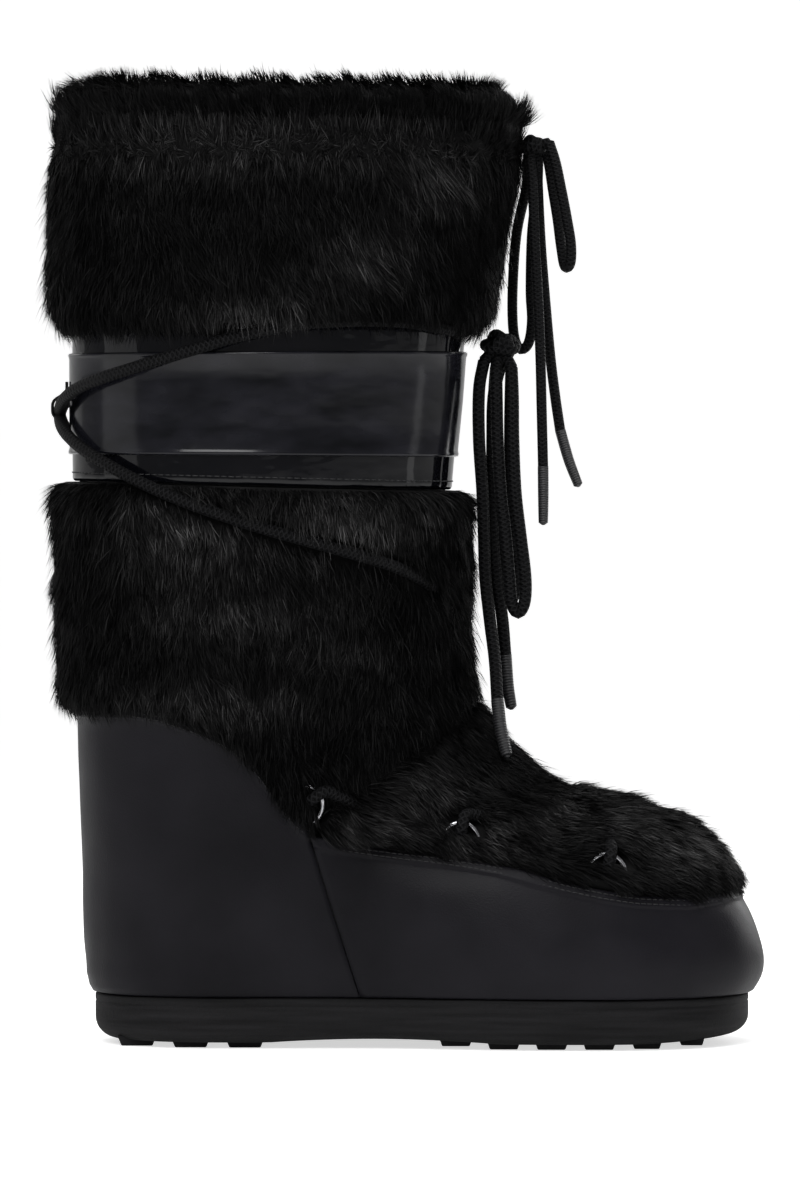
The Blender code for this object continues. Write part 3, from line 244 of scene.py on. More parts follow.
LACE_END_NEAR = (
    (0.0262, -0.0048, 0.3030), (0.0240, -0.0062, 0.2900), (0.0240, -0.0060, 0.2680),
    (0.0255, -0.0050, 0.2450), (0.0262, -0.0040, 0.2250), (0.0268, -0.0040, 0.2070),
    (0.0288, -0.0060, 0.1880), (0.0310, -0.0110, 0.1700), (0.0320, -0.0185, 0.1530),
)
LACE_TIP_NEAR = ((0.0320, -0.0186, 0.1528), (0.0335, -0.0235, 0.1400), (0.0360, -0.0275, 0.1290))
LACE_END_FAR = (
    (0.0335, 0.0, 0.3010), (0.0305, 0.0010, 0.2870), (0.0300, 0.0020, 0.2680),
    (0.0300, 0.0022, 0.2450), (0.0302, 0.0024, 0.2250), (0.0318, 0.0026, 0.2070),
    (0.0345, 0.0026, 0.1880), (0.0358, 0.0026, 0.1720),
)
LACE_TIP_FAR = ((0.0358, 0.0026, 0.1722), (0.0368, 0.0026, 0.1590), (0.0385, 0.0026, 0.1490))
DRAW_LOOP_NEAR = (
    (0.0552, -0.0024, 0.4000), (0.0580, -0.0044, 0.3910), (0.0606, -0.0050, 0.3785),
    (0.0630, -0.0052, 0.3660), (0.0648, -0.0052, 0.3545), (0.0645, -0.0042, 0.3462),
    (0.0622, -0.0008, 0.3450), (0.0606, 0.0014, 0.3535), (0.0590, 0.0018, 0.3660),
    (0.0570, 0.0018, 0.3785), (0.0554, 0.0018, 0.3890), (0.0542, 0.0018, 0.3952),
)
DRAW_LOOP_FAR = (
    (0.0505, 0.0056, 0.3945), (0.0500, 0.0084, 0.3800), (0.0478, 0.0104, 0.3600),
    (0.0472, 0.0118, 0.3350), (0.0478, 0.0125, 0.3210), (0.0462, 0.0130, 0.3110),
    (0.0424, 0.0140, 0.3085), (0.0396, 0.0150, 0.3160), (0.0392, 0.0166, 0.3350),
    (0.0410, 0.0180, 0.3600), (0.0452, 0.0170, 0.3800), (0.0458, 0.0120, 0.3910),
    (0.0462, 0.0068, 0.3972),
)
DRAW_END_LOW = (
    (0.0468, -0.0038, 0.3928), (0.0478, -0.0072, 0.3800), (0.0488, -0.0080, 0.3550),
    (0.0502, -0.0080, 0.3300), (0.0512, -0.0080, 0.3050), (0.0518, -0.0080, 0.2800),
    (0.0524, -0.0080, 0.2560),
)
DRAW_TIP_LOW = ((0.0524, -0.0080, 0.2562), (0.0525, -0.0080, 0.2430), (0.0525, -0.0080, 0.2312))
DRAW_END_HIGH = (
    (0.0500, -0.0005, 0.3918), (0.0502, 0.0000, 0.3800), (0.0515, 0.0008, 0.3550),
    (0.0535, 0.0020, 0.3300), (0.0558, 0.0030, 0.3050), (0.0580, 0.0020, 0.2870),
    (0.0602, 0.0020, 0.2720),
)
DRAW_TIP_HIGH = ((0.0602, 0.0020, 0.2722), (0.0640, 0.0020, 0.2590), (0.0682, 0.0020, 0.2480))


class Side(Enum):
    """The two sides of the boot."""

    NEAR = -1
    FAR = 1


def height(level: Array | Sequence[float] | float) -> Array:
    """Height over the floor of a level: 0 at the sole, 1 at the ankle, 2 at the collar."""
    level = np.asarray(level, float)
    foot = np.minimum(level, 1.0) * ANKLE_RISE
    return SOLE_THICK + GAP + foot + np.maximum(level - 1.0, 0.0) * SHAFT_RISE


def real_rings() -> Array:
    """The form's table in metres."""
    table = np.array(FORM)
    table[:, 0] *= BOOT_LENGTH
    table[:, 1] = height(table[:, 1])
    table[:, 2] *= BOOT_LENGTH
    table[:, 3] = height(table[:, 3])
    table[:, 4] *= SHAFT_WIDTH / 2
    table[:, 5:7] *= BALL_WIDTH / 2
    return table


RINGS = real_rings()


def ring_at(v: Array | float) -> Array:
    """The form's ring at any place v, by a smooth curve through the table's rows."""
    v = np.clip(np.asarray(v, float), 0, TOP)
    row = np.clip(np.floor(v).astype(int), 0, TOP - 1)
    f = (v - row)[..., None]
    a, b, c, d = (RINGS[np.clip(row + k, 0, TOP)] for k in (-1, 0, 1, 2))
    ring = b + 0.5 * (c - a) * f + (a - 2.5 * b + 2 * c - 0.5 * d) * f**2
    ring = ring + (1.5 * b - 0.5 * a - 1.5 * c + 0.5 * d) * f**3
    return np.moveaxis(ring, -1, 0)


def rounded_end(share: Array, reach: Array) -> Array:
    """Half width near a ring's end, as a share: 0 at the end, 1 from reach on."""
    inward = np.clip((reach - share) / reach, 0, 1)
    return (1 - inward**BLUNT) ** (1 / BLUNT)


def form(theta: Array, v: Array) -> Array:
    """Points on the padded liner's outer face.

    Args:
        theta: the angle round the boot, 0 at the back, below 0 on the near side.
        v: the place up the table of rings.

    Returns:
        Points, with their coordinates in the last axis.
    """
    theta = np.asarray(theta, float)
    back_x, back_z, front_x, front_z, rear, fore, waist, heel_round, toe_round = ring_at(v)
    t = (1 - np.cos(theta)) / 2
    blend = np.clip((t - 0.25) / 0.5, 0, 1)
    blend = blend * blend * (3 - 2 * blend)
    half = rear * (1 - blend) + fore * blend - waist * np.exp(-(((t - 0.45) / 0.12) ** 2))
    half = half * rounded_end(t, heel_round) * rounded_end(1 - t, toe_round)
    x = back_x + t * (front_x - back_x)
    z = back_z + t * (front_z - back_z)
    return np.stack([x, half * np.sign(np.sin(theta)), z + 0 * x], axis=-1)


def normal(theta: Array, v: Array) -> Array:
    """Outward normals of the liner's outer face."""
    theta = np.asarray(theta, float)
    v = np.asarray(v, float) + 0 * theta
    along = form(theta + 0.02, v) - form(theta - 0.02, v)
    up = form(theta, np.minimum(v + 0.05, TOP)) - form(theta, np.maximum(v - 0.05, 0))
    n = np.cross(up, along)
    return n / np.maximum(np.linalg.norm(n, axis=-1, keepdims=True), 1e-12)


def skin(theta: Array, v: Array, lift: Array | float) -> Array:
    """Points at a height over the liner's outer face."""
    lift = np.asarray(lift, float) + 0 * np.asarray(theta, float)
    points = form(theta, v) + normal(theta, v) * lift[..., None]
    points[..., 2] = np.maximum(points[..., 2], SOLE_THICK + GAP)
    return points


def edge(table: Sequence[Sequence[float]], shift: float = 0.0) -> Height:
    """An edge as a function that gives the height at each x."""
    xs = np.array([row[0] for row in table]) * BOOT_LENGTH
    zs = height([row[1] for row in table]) + shift
    return lambda x: np.interp(x, xs, zs)


def place_under(theta: Array, target: Height) -> Array:
    """The place v at which each column meets a height that depends on x."""
    low = np.zeros_like(theta)
    high = np.full_like(theta, TOP)
    for _ in range(24):
        middle = (low + high) / 2
        point = form(theta, middle)
        under = point[..., 2] < target(point[..., 0])
        low = np.where(under, middle, low)
        high = np.where(under, high, middle)
    return (low + high) / 2


def place_at(x: float, z: float) -> tuple[float, float]:
    """Theta and v of a point of the side view, on the far side."""
    low, high = 0.0, float(TOP)
    for _ in range(30):
        middle = (low + high) / 2
        back_x, back_z, front_x, front_z = ring_at(middle)[:4]
        share = (x - back_x) / (front_x - back_x)
        if back_z + share * (front_z - back_z) < z:
            low = middle
        else:
            high = middle
    return math.acos(1 - 2 * min(max(float(share), 0.0), 1.0)), (low + high) / 2


def waves(points: Array, size: float, seed: int) -> Array:
    """Smooth noise from about -1 to 1, as a sum of a few waves in fixed random directions.

    Args:
        points: where to read it, in metres.
        size: the length of its waves, in metres.
        seed: picks the directions.

    Returns:
        One value a point.
    """
    rng = np.random.default_rng(seed)
    total = np.zeros(points.shape[:-1])
    for _ in range(7):
        way = rng.normal(size=3)
        way *= rng.uniform(0.6, 1.6) / np.linalg.norm(way)
        total += np.sin(points @ way * (2 * math.pi / size) + rng.uniform(0, 6.28))
    return total / 3.2


def smooth_curve(points: Array | Sequence[Sequence[float]], step: float) -> Array:
    """Points at even steps along a smooth curve through the given ones."""
    points = np.asarray(points, float)
    ends = np.vstack([2 * points[0] - points[1], points, 2 * points[-1] - points[-2]])
    fine = []
    for k in range(len(points) - 1):
        a, b, c, d = ends[k:k + 4]
        for f in np.linspace(0, 1, 24, endpoint=False):
            fine.append(b + 0.5 * f * (c - a) + f**2 * (a - 2.5 * b + 2 * c - 0.5 * d)
                        + f**3 * (1.5 * b - 0.5 * a - 1.5 * c + 0.5 * d))
    return evenly(np.array(fine + [points[-1]]), step)


def evenly(fine: Array, step: float) -> Array:
    """The same line with its points at even steps."""
    run = np.concatenate([[0], np.cumsum(np.linalg.norm(np.diff(fine, axis=0), axis=1))])
    at = np.linspace(0, run[-1], max(2, int(round(run[-1] / step)) + 1))
    return np.stack([np.interp(at, run, fine[:, k]) for k in range(fine.shape[1])], axis=1)


# Shader maths


class Value:
    """A shader socket or a number that Python's operators can work on."""

    def __init__(self, tree: bpy.types.NodeTree, socket: bpy.types.NodeSocket | float) -> None:
        self.tree = tree
        self.socket = socket

    def _math(self, operation: str, first: object, second: object) -> "Value":
        """Adds one Math node."""
        node = self.tree.nodes.new("ShaderNodeMath")
        node.operation = operation
        for slot, given in zip(node.inputs, (first, second)):
            given = given.socket if isinstance(given, Value) else given
            if isinstance(given, (int, float)):
                slot.default_value = given
            else:
                self.tree.links.new(given, slot)
        return Value(self.tree, node.outputs[0])

    def __add__(self, other: object) -> "Value":
        """Sum."""
        return self._math("ADD", self, other)

    def __sub__(self, other: object) -> "Value":
        """Difference."""
        return self._math("SUBTRACT", self, other)

    def __mul__(self, other: object) -> "Value":
        """Product."""
        return self._math("MULTIPLY", self, other)

    def sine(self) -> "Value":
        """Sine."""
        return self._math("SINE", self, 0.0)

    def larger(self, other: object) -> "Value":
        """The larger of two values."""
        return self._math("MAXIMUM", self, other)

    __radd__ = __add__
    __rmul__ = __mul__


class Finish:
    """A material in the making: a Principled shader and the nodes that feed it."""

    def __init__(self, name: str, roughness: float, metallic: float = 0.0, **fixed: float) -> None:
        self.material = bpy.data.materials.new(name)
        self.material.use_nodes = True
        self.tree = self.material.node_tree
        self.shader = self.tree.nodes["Principled BSDF"]
        self.shader.inputs["Roughness"].default_value = roughness
        self.shader.inputs["Metallic"].default_value = metallic
        for socket, number in fixed.items():
            self.shader.inputs[socket.replace("_", " ")].default_value = number

    def node(self, kind: str, settings: dict[str, object] | None = None,
             **sockets: object) -> bpy.types.Node:
        """Adds a node of any type.

        Args:
            kind: the node's type, without its leading ShaderNode.
            settings: attributes to set before anything is linked.
            sockets: numbers or links of its inputs, by name with _ for a space.

        Returns:
            The node.
        """
        node = self.tree.nodes.new("ShaderNode" + kind)
        for name, value in (settings or {}).items():
            setattr(node, name, value)
        for name, given in sockets.items():
            slot = node.inputs[name.replace("_", " ")]
            given = given.socket if isinstance(given, Value) else given
            if isinstance(given, bpy.types.NodeSocket):
                self.tree.links.new(given, slot)
            else:
                slot.default_value = given
        return node

    def place(self, stretch: Sequence[float] = (1, 1, 1)) -> bpy.types.NodeSocket:
        """Object coordinates, stretched."""
        coordinates = self.node("TexCoord").outputs["Object"]
        return self.node("Mapping", Vector=coordinates, Scale=tuple(stretch)).outputs[0]

    def noise(self, scale: float, detail: float = 3.0, stretch: Sequence[float] = (1, 1, 1),
              rough: float = 0.5) -> Value:
        """A noise on Object coordinates."""
        node = self.node("TexNoise", Vector=self.place(stretch), Scale=scale, Detail=detail,
                         Roughness=rough)
        return Value(self.tree, node.outputs["Fac"])

    def cells(self, scale: float) -> Value:
        """Rounded cells on Object coordinates, as in leather grain."""
        node = self.node("TexVoronoi", {"feature": "SMOOTH_F1"}, Vector=self.place(), Scale=scale)
        return Value(self.tree, node.outputs["Distance"])

    def ramp(self, value: Value, low: float, high: float) -> Value:
        """A value brought to 0 at low and 1 at high, and kept between them."""
        node = self.node("MapRange", {"clamp": True}, Value=value, From_Min=low, From_Max=high)
        return Value(self.tree, node.outputs["Result"])

    def color(self, value: Value, first: Sequence[float], second: Sequence[float]) -> None:
        """Feeds the base colour with a mix of two colours."""
        node = self.tree.nodes.new("ShaderNodeMix")
        node.data_type = "RGBA"
        self.tree.links.new(value.socket, node.inputs[0])
        node.inputs[6].default_value = (*first, 1.0)
        node.inputs[7].default_value = (*second, 1.0)
        self.tree.links.new(node.outputs[2], self.shader.inputs["Base Color"])

    def rough(self, value: Value) -> None:
        """Feeds the roughness."""
        self.tree.links.new(value.socket, self.shader.inputs["Roughness"])

    def bump(self, value: Value, distance: float, strength: float = 1.0) -> None:
        """Feeds the normal with a relief of a real depth."""
        node = self.node("Bump", Height=value, Distance=distance, Strength=strength)
        self.tree.links.new(node.outputs[0], self.shader.inputs["Normal"])


class Finishes:
    """Every finish of the boot."""

    def __init__(self) -> None:
        self.shell = self.make_shell()
        self.rubber = self.make_rubber()
        self.patent = self.make_patent("patent", 0.0)
        self.strip = self.make_patent("patent_strip", 0.09)
        self.fur = self.make_fur()
        self.braid = self.make_braid("braid", (0.0014, 0.0014, 0.0017), (0.0105, 0.0105, 0.0115))
        self.tip = self.make_tip()
        self.metal = self.make_metal()
        self.webbing = self.make_webbing()
        self.lining = self.make_lining()
        self.thread = self.make_thread()

    @staticmethod
    def make_shell() -> Finish:
        """Satin polyurethane with a fine leather grain and faint clouds, a painted reflection of the
        fur's shade.
        """
        finish = Finish("shell", 0.45, Specular_IOR_Level=0.11)
        # Painted reflection: soft dark and light clouds in the colour stand in for the fur's shade
        # mirrored in the satin.
        cloud = finish.noise(15, 3)
        grain = finish.cells(1500)
        fine = finish.noise(2600, 2)
        finish.color(finish.ramp(cloud, 0.3, 0.7), (0.0026, 0.0024, 0.0036),
                     (0.0100, 0.0094, 0.0122))
        finish.rough(0.36 + finish.noise(60, 4) * 0.15)
        finish.bump(grain * 0.7 + fine * 0.3, 0.00013)
        return finish

    @staticmethod
    def make_rubber() -> Finish:
        """Matte rubber with a dense grain and horizontal streaks."""
        finish = Finish("rubber", 0.7, Specular_IOR_Level=0.16)
        streak = finish.noise(55, 4, (0.35, 0.35, 7.0))
        grain = finish.noise(1300, 4, rough=0.65)
        finish.color(finish.ramp(streak, 0.35, 0.68), (0.0036, 0.0036, 0.0040),
                     (0.0115, 0.0112, 0.0122))
        finish.rough(0.55 + grain * 0.3)
        finish.bump(grain * 0.75 + streak * 0.4, 0.0006)
        return finish

    @staticmethod
    def make_patent(name: str, matt: float) -> Finish:
        """High-gloss film with the slow ripple of a padded backing."""
        finish = Finish(name, 0.06, Specular_IOR_Level=0.30)
        ripple = finish.noise(38, 2, (1.0, 1.0, 2.2))
        orange = finish.noise(420, 2)
        dust = finish.noise(160, 5)
        pale = 0.0036 + 0.08 * matt
        finish.color(finish.ramp(ripple, 0.3, 0.7), (0.0016, 0.0018, 0.0028),
                     (pale, pale, pale * 1.35))
        finish.rough(0.05 + matt + finish.ramp(dust, 0.5, 0.8) * 0.07)
        finish.bump(ripple + orange * 0.02, 0.0003)
        return finish

    @staticmethod
    def make_fur() -> Finish:
        """Near-black fibres, greyer toward some tips and in soft patches of painted sheen."""
        finish = Finish("fur", 0.50, Specular_IOR_Level=0.035)
        tone = Value(finish.tree, finish.node("Attribute", {"attribute_name": "tone"}).outputs["Fac"])
        finish.color(tone, (0.0006, 0.0006, 0.0007), (0.1350, 0.1330, 0.1340))
        finish.rough(0.44 + tone * 0.2)
        return finish

    @staticmethod
    def make_braid(name: str, dark: Sequence[float], pale: Sequence[float]) -> Finish:
        """A round braid: two sets of strands that cross along the cord's own UV map."""
        finish = Finish(name, 0.62, Specular_IOR_Level=0.09)
        split = finish.node("SeparateXYZ", Vector=finish.node("TexCoord").outputs["UV"])
        round_it = Value(finish.tree, split.outputs["X"]) * (8 * math.pi)
        along = Value(finish.tree, split.outputs["Y"]) * (5 * math.pi)
        left = (round_it + along).sine()
        right = (round_it - along).sine()
        strands = left.larger(right)
        fleck = finish.ramp(finish.noise(900, 2), 0.52, 0.72)
        finish.color(finish.ramp(strands, -0.2, 1.0) * 0.55 + fleck * 0.45, dark, pale)
        finish.rough(0.55 + fleck * 0.2)
        finish.bump(strands + finish.noise(2500, 2) * 0.3, 0.00045)
        return finish

    @staticmethod
    def make_tip() -> Finish:
        """Moulded cord tips, finely ribbed along their UV map."""
        finish = Finish("cord_tip", 0.4)
        split = finish.node("SeparateXYZ", Vector=finish.node("TexCoord").outputs["UV"])
        ribs = (Value(finish.tree, split.outputs["Y"]) * (9 * math.pi)).sine()
        finish.color(finish.ramp(ribs, -0.6, 0.8), (0.007, 0.007, 0.008), (0.024, 0.024, 0.026))
        finish.rough(0.34 + finish.noise(500, 3) * 0.2)
        finish.bump(ribs, 0.00022)
        return finish

    @staticmethod
    def make_metal() -> Finish:
        """Dark polished wire."""
        finish = Finish("ring_metal", 0.16, 1.0)
        worn = finish.noise(420, 4)
        finish.color(finish.ramp(worn, 0.35, 0.75), (0.34, 0.34, 0.36), (0.70, 0.70, 0.73))
        finish.rough(0.13 + worn * 0.16)
        finish.bump(worn, 0.00004)
        return finish

    @staticmethod
    def make_webbing() -> Finish:
        """Narrow woven tape."""
        finish = Finish("webbing", 0.75, Specular_IOR_Level=0.2)
        weave = finish.node("TexWave", {"bands_direction": "Z"}, Vector=finish.place(), Scale=330.0,
                            Distortion=0.4)
        lines = Value(finish.tree, weave.outputs["Fac"])
        finish.color(lines, (0.0030, 0.0030, 0.0034), (0.0120, 0.0120, 0.0130))
        finish.rough(0.65 + lines * 0.2)
        finish.bump(lines, 0.0003)
        return finish

    @staticmethod
    def make_lining() -> Finish:
        """Soft brushed lining."""
        finish = Finish("lining", 0.9, Sheen_Weight=0.35)
        nap = finish.noise(1100, 5, rough=0.7)
        cloud = finish.noise(45, 3)
        finish.color(cloud * 0.6 + nap * 0.4, (0.010, 0.010, 0.011), (0.040, 0.040, 0.042))
        finish.rough(0.85 + nap * 0.1)
        finish.bump(nap, 0.0007)
        return finish

    @staticmethod
    def make_thread() -> Finish:
        """Sewing thread."""
        finish = Finish("thread", 0.5)
        twist = finish.noise(3000, 1)
        finish.color(twist, (0.004, 0.004, 0.005), (0.026, 0.026, 0.028))
        finish.rough(0.45 + twist * 0.2)
        finish.bump(twist, 0.0001)
        return finish


# Mesh helpers


def object_mode_clear() -> None:
    """Deselects everything, so that an operator acts on the new piece alone."""
    bpy.ops.object.select_all(action="DESELECT")


def select_only(obj: bpy.types.Object) -> None:
    """Selects one object and makes it the active one."""
    object_mode_clear()
    obj.select_set(True)
    bpy.context.view_layer.objects.active = obj


def dress(obj: bpy.types.Object, finish: Finish, slot: str, *nodes: str) -> bpy.types.Object:
    """Gives a piece its finish, its body and the nodes that it stands for."""
    obj.data.materials.clear()
    obj.data.materials.append(finish.material)
    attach(obj, "root")
    if nodes:
        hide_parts(*nodes)
    LOG.info("%s: %d faces", obj.name, len(obj.data.polygons))
    return obj


def wrapped(name: str, grid: Array, closed: bool) -> bpy.types.Object:
    """A grid primitive whose points are moved to the given rows.

    Args:
        name: name of the new object.
        grid: points, rows by columns, from below upward and round from the near side's back.
        closed: whether the last column joins the first.

    Returns:
        The object, shaded smooth.
    """
    rows, columns = grid.shape[:2]
    if closed:
        grid = np.concatenate([grid, grid[:, :1]], axis=1)
        columns += 1
    object_mode_clear()
    bpy.ops.mesh.primitive_grid_add(x_subdivisions=columns - 1, y_subdivisions=rows - 1, size=1)
    obj = bpy.context.active_object
    obj.name = obj.data.name = name
    place = grid.reshape(-1, 3) + np.array([SOLE_AHEAD, 0.0, 0.0])
    obj.data.vertices.foreach_set("co", place.astype(np.float32).ravel())
    bpy.ops.object.mode_set(mode="EDIT")
    bpy.ops.mesh.select_all(action="SELECT")
    if closed:
        bpy.ops.mesh.remove_doubles(threshold=1e-6)
    bpy.ops.mesh.normals_make_consistent(inside=False)
    bpy.ops.object.mode_set(mode="OBJECT")
    bpy.ops.object.shade_smooth()
    obj.data.update()
    return obj


def thicken(obj: bpy.types.Object, wall: float) -> None:
    """Gives an open sheet its wall, inward, and applies it."""
    select_only(obj)
    solid = obj.modifiers.new("wall", "SOLIDIFY")
    solid.thickness = wall
    solid.offset = -1.0
    bpy.ops.object.modifier_apply(modifier=solid.name)


def frames_along(line: Array, closed: bool = False) -> tuple[Array, Array]:
    """Two directions across a line at each of its points, without twist."""
    ahead = np.roll(line, -1, axis=0) - np.roll(line, 1, axis=0)
    if not closed:
        ahead[0] = line[1] - line[0]
        ahead[-1] = line[-1] - line[-2]
    ahead /= np.linalg.norm(ahead, axis=1, keepdims=True)
    side = np.cross(ahead[0], (0.0, 0.0, 1.0))
    if np.linalg.norm(side) < 0.2:
        side = np.cross(ahead[0], (0.0, 1.0, 0.0))
    first = []
    for way in ahead:
        side = side - way * np.dot(side, way)
        side = side / np.linalg.norm(side)
        first.append(side)
    first = np.array(first)
    return first, np.cross(ahead, first)


def tube_arrays(line: Array, radius: float | Array, sides: int, closed: bool = False) -> Tube:
    """Points, faces and UVs of a round tube along a line, with rounded ends where it is open."""
    radius = np.zeros(len(line)) + radius
    first, second = frames_along(line, closed)
    run = np.concatenate([[0], np.cumsum(np.linalg.norm(np.diff(line, axis=0), axis=1))])
    along = run / (2 * radius.max())
    if not closed:
        cap = radius[0] * 0.45
        start = line[0] + (line[0] - line[1]) / np.linalg.norm(line[0] - line[1]) * cap
        end = line[-1] + (line[-1] - line[-2]) / np.linalg.norm(line[-1] - line[-2]) * cap
        line = np.vstack([start, line, end])
        radius = np.concatenate([[radius[0] * 0.25], radius, [radius[-1] * 0.25]])
        first = np.vstack([first[:1], first, first[-1:]])
        second = np.vstack([second[:1], second, second[-1:]])
        along = np.concatenate([[along[0] - 0.2], along, [along[-1] + 0.2]])
    turn = np.linspace(0, 2 * math.pi, sides + 1)
    spoke = (first[:, None] * np.cos(turn)[None, :, None]
             + second[:, None] * np.sin(turn)[None, :, None])
    points = (line[:, None] + spoke * radius[:, None, None]).reshape(-1, 3)
    uv = np.stack(np.broadcast_arrays(turn[None] / (2 * math.pi), along[:, None]), axis=-1)
    faces = []
    count = len(line)
    width = sides + 1
    for k in range(count if closed else count - 1):
        after = (k + 1) % count
        for j in range(sides):
            faces.append((k * width + j, k * width + j + 1, after * width + j + 1, after * width + j))
    if not closed:
        middle = np.vstack([line[:1], line[-1:]])
        points = np.vstack([points, middle])
        uv = np.vstack([uv.reshape(-1, 2), [[0, along[0]], [0, along[-1]]]])
        last = (count - 1) * width
        for j in range(sides):
            faces.append((len(points) - 2, j + 1, j, j))
            faces.append((len(points) - 1, last + j, last + j + 1, last + j + 1))
    return points, np.array(faces), uv.reshape(-1, 2)


def joined(name: str, tubes: Iterable[Tube]) -> bpy.types.Object:
    """One mesh piece from the arrays of several tubes, its doubled points merged."""
    points, faces, uvs = [], [], []
    base = 0
    for p, f, uv in tubes:
        points.append(p)
        faces += [tuple(dict.fromkeys((face + base).tolist())) for face in f]
        uvs.append(uv)
        base += len(p)
    mesh = bpy.data.meshes.new(name)
    place = np.vstack(points) + np.array([SOLE_AHEAD, 0.0, 0.0])
    mesh.from_pydata(place.tolist(), [], faces)
    mesh.shade_smooth()
    layer = mesh.uv_layers.new(name="along")
    index = np.zeros(len(mesh.loops), np.int32)
    mesh.loops.foreach_get("vertex_index", index)
    layer.data.foreach_set("uv", np.vstack(uvs)[index].astype(np.float32).ravel())
    obj = bpy.data.objects.new(name, mesh)
    bpy.context.scene.collection.objects.link(obj)
    select_only(obj)
    bpy.ops.object.mode_set(mode="EDIT")
    bpy.ops.mesh.select_all(action="SELECT")
    bpy.ops.mesh.remove_doubles(threshold=1e-6)
    bpy.ops.mesh.normals_make_consistent(inside=False)
    bpy.ops.object.mode_set(mode="OBJECT")
    return obj


def stitch_row(line: Array, out: Array, long: float, space: float, thick: float) -> list[Tube]:
    """Short threads that dip into the surface at both ends.

    Args:
        line: points along the row, on the surface.
        out: outward directions at them.
        long: length of a stitch.
        space: room between two stitches.
        thick: radius of the thread.

    Returns:
        Arrays of the tubes, one a stitch.
    """
    run = np.concatenate([[0], np.cumsum(np.linalg.norm(np.diff(line, axis=0), axis=1))])
    at = np.arange(0, run[-1], long / 3)
    both = np.stack([np.interp(at, run, part) for part in (*line.T, *out.T)], axis=1)
    step = 3 + max(1, int(round(space / (long / 3))))
    stitches = []
    for k in range(0, len(both) - 3, step):
        part = both[k:k + 4]
        lift = np.array([-0.35, 0.7, 0.7, -0.35])[:, None] * thick
        stitches.append(tube_arrays(part[:, :3] + part[:, 3:] * lift, thick, 4))
    return stitches


# The sub-assemblies


def sole_rise(x: Array) -> Array:
    """How far the sole's underside rises over the floor along the boot."""
    share = x / BOOT_LENGTH
    arch = ARCH_RISE * np.clip(1 - ((share + 0.06) / 0.17) ** 2, 0, 1)
    return arch + TOE_SPRING * np.clip((share - 0.30) / 0.18, 0, 1) ** 1.6


@dataclass
class Outsole:
    """The moulded rubber sole and its lugs."""

    columns: int = 168
    bands: int = 9
    lug_rows: tuple[tuple[float, float], ...] = (
        (-0.425, 0.050), (-0.345, 0.050), (-0.265, 0.050), (0.045, 0.044), (0.115, 0.044),
        (0.185, 0.044), (0.255, 0.044), (0.325, 0.040), (0.392, 0.034),
    )

    def ring(self, margin: float, z: float, follow: float, pull: float = 1.0) -> Array:
        """One ring of the side or the underside; pull draws it in to the middle line."""
        theta = np.arange(self.columns) * 2 * math.pi / self.columns
        ring = form(theta, 0 * theta)
        n = normal(theta, 0 * theta)
        n[:, 2] = 0
        ring = ring + n / np.linalg.norm(n, axis=1, keepdims=True) * margin
        ring[:, 2] = z + follow * sole_rise(ring[:, 0])
        ring[:, 1] *= pull
        return ring

    def half(self, x: float) -> float:
        """Half the sole's width at x."""
        theta, _ = place_at(x, float(height(0.0)) + 1e-5)
        return abs(float(form(np.array(theta), np.array(0.0))[1])) + SOLE_MARGIN

    def build(self, finishes: Finishes) -> None:
        """Makes the sole and dresses it."""
        rows = [self.ring(SOLE_MARGIN - SOLE_ROUND, TREAD_DEEP, 1.0, k) for k in (0.0, 0.35, 0.7)]
        for turn in np.linspace(90, 0, self.bands):
            a = math.radians(turn)
            margin = SOLE_MARGIN - SOLE_ROUND * (1 - math.cos(a)) * min(1.0, turn / 4 + 0.5)
            z = TREAD_DEEP + SOLE_ROUND * (1 - math.sin(a))
            rows.append(self.ring(margin, z, 0.3 + 0.7 * turn / 90))
        for z, margin in ((0.0150, 0.0), (0.0184, 0.0), (0.0190, -0.0004), (0.0196, 0.0),
                          (SOLE_THICK - 0.0009, 0.0), (SOLE_THICK - 0.0002, -0.0006)):
            rows.append(self.ring(SOLE_MARGIN + margin, z, 0.0))
        rows += [self.ring(SOLE_MARGIN - 0.002, SOLE_THICK, 0.0, k) for k in (1.0, 0.5, 0.0)]
        sole = wrapped("sole", np.array(rows), True)
        parts = [sole]
        for share, long in self.lug_rows:
            x = share * BOOT_LENGTH
            half = self.half(x) - SOLE_ROUND
            for across in (-1, 0, 1):
                parts.append(self.lug(x, across * half * 0.68, long * BOOT_LENGTH, half * 0.56))
        select_only(sole)
        for part in parts:
            part.select_set(True)
        bpy.ops.object.join()
        dress(sole, finishes.rubber, "rubber", "outsole")

    def lug(self, x: float, y: float, long: float, wide: float) -> bpy.types.Object:
        """One lug: a cube drawn in toward its foot, with a groove edge and soft corners."""
        foot = float(sole_rise(np.array(x)))
        tall = TREAD_DEEP + 0.0022
        object_mode_clear()
        bpy.ops.mesh.primitive_cube_add(size=1)
        obj = bpy.context.active_object
        for vert in obj.data.vertices:
            spread = 1.15 if vert.co.z > 0 else 0.92
            vert.co = Vector((
                x + SOLE_AHEAD + vert.co.x * long * spread, y + vert.co.y * wide * spread,
                foot + (vert.co.z + 0.5) * tall,
            ))
        bevel = obj.modifiers.new("soft", "BEVEL")
        bevel.width = 0.0005
        bevel.segments = 2
        bpy.ops.object.modifier_apply(modifier=bevel.name)
        bpy.ops.object.shade_smooth_by_angle(angle=math.radians(35))
        return obj


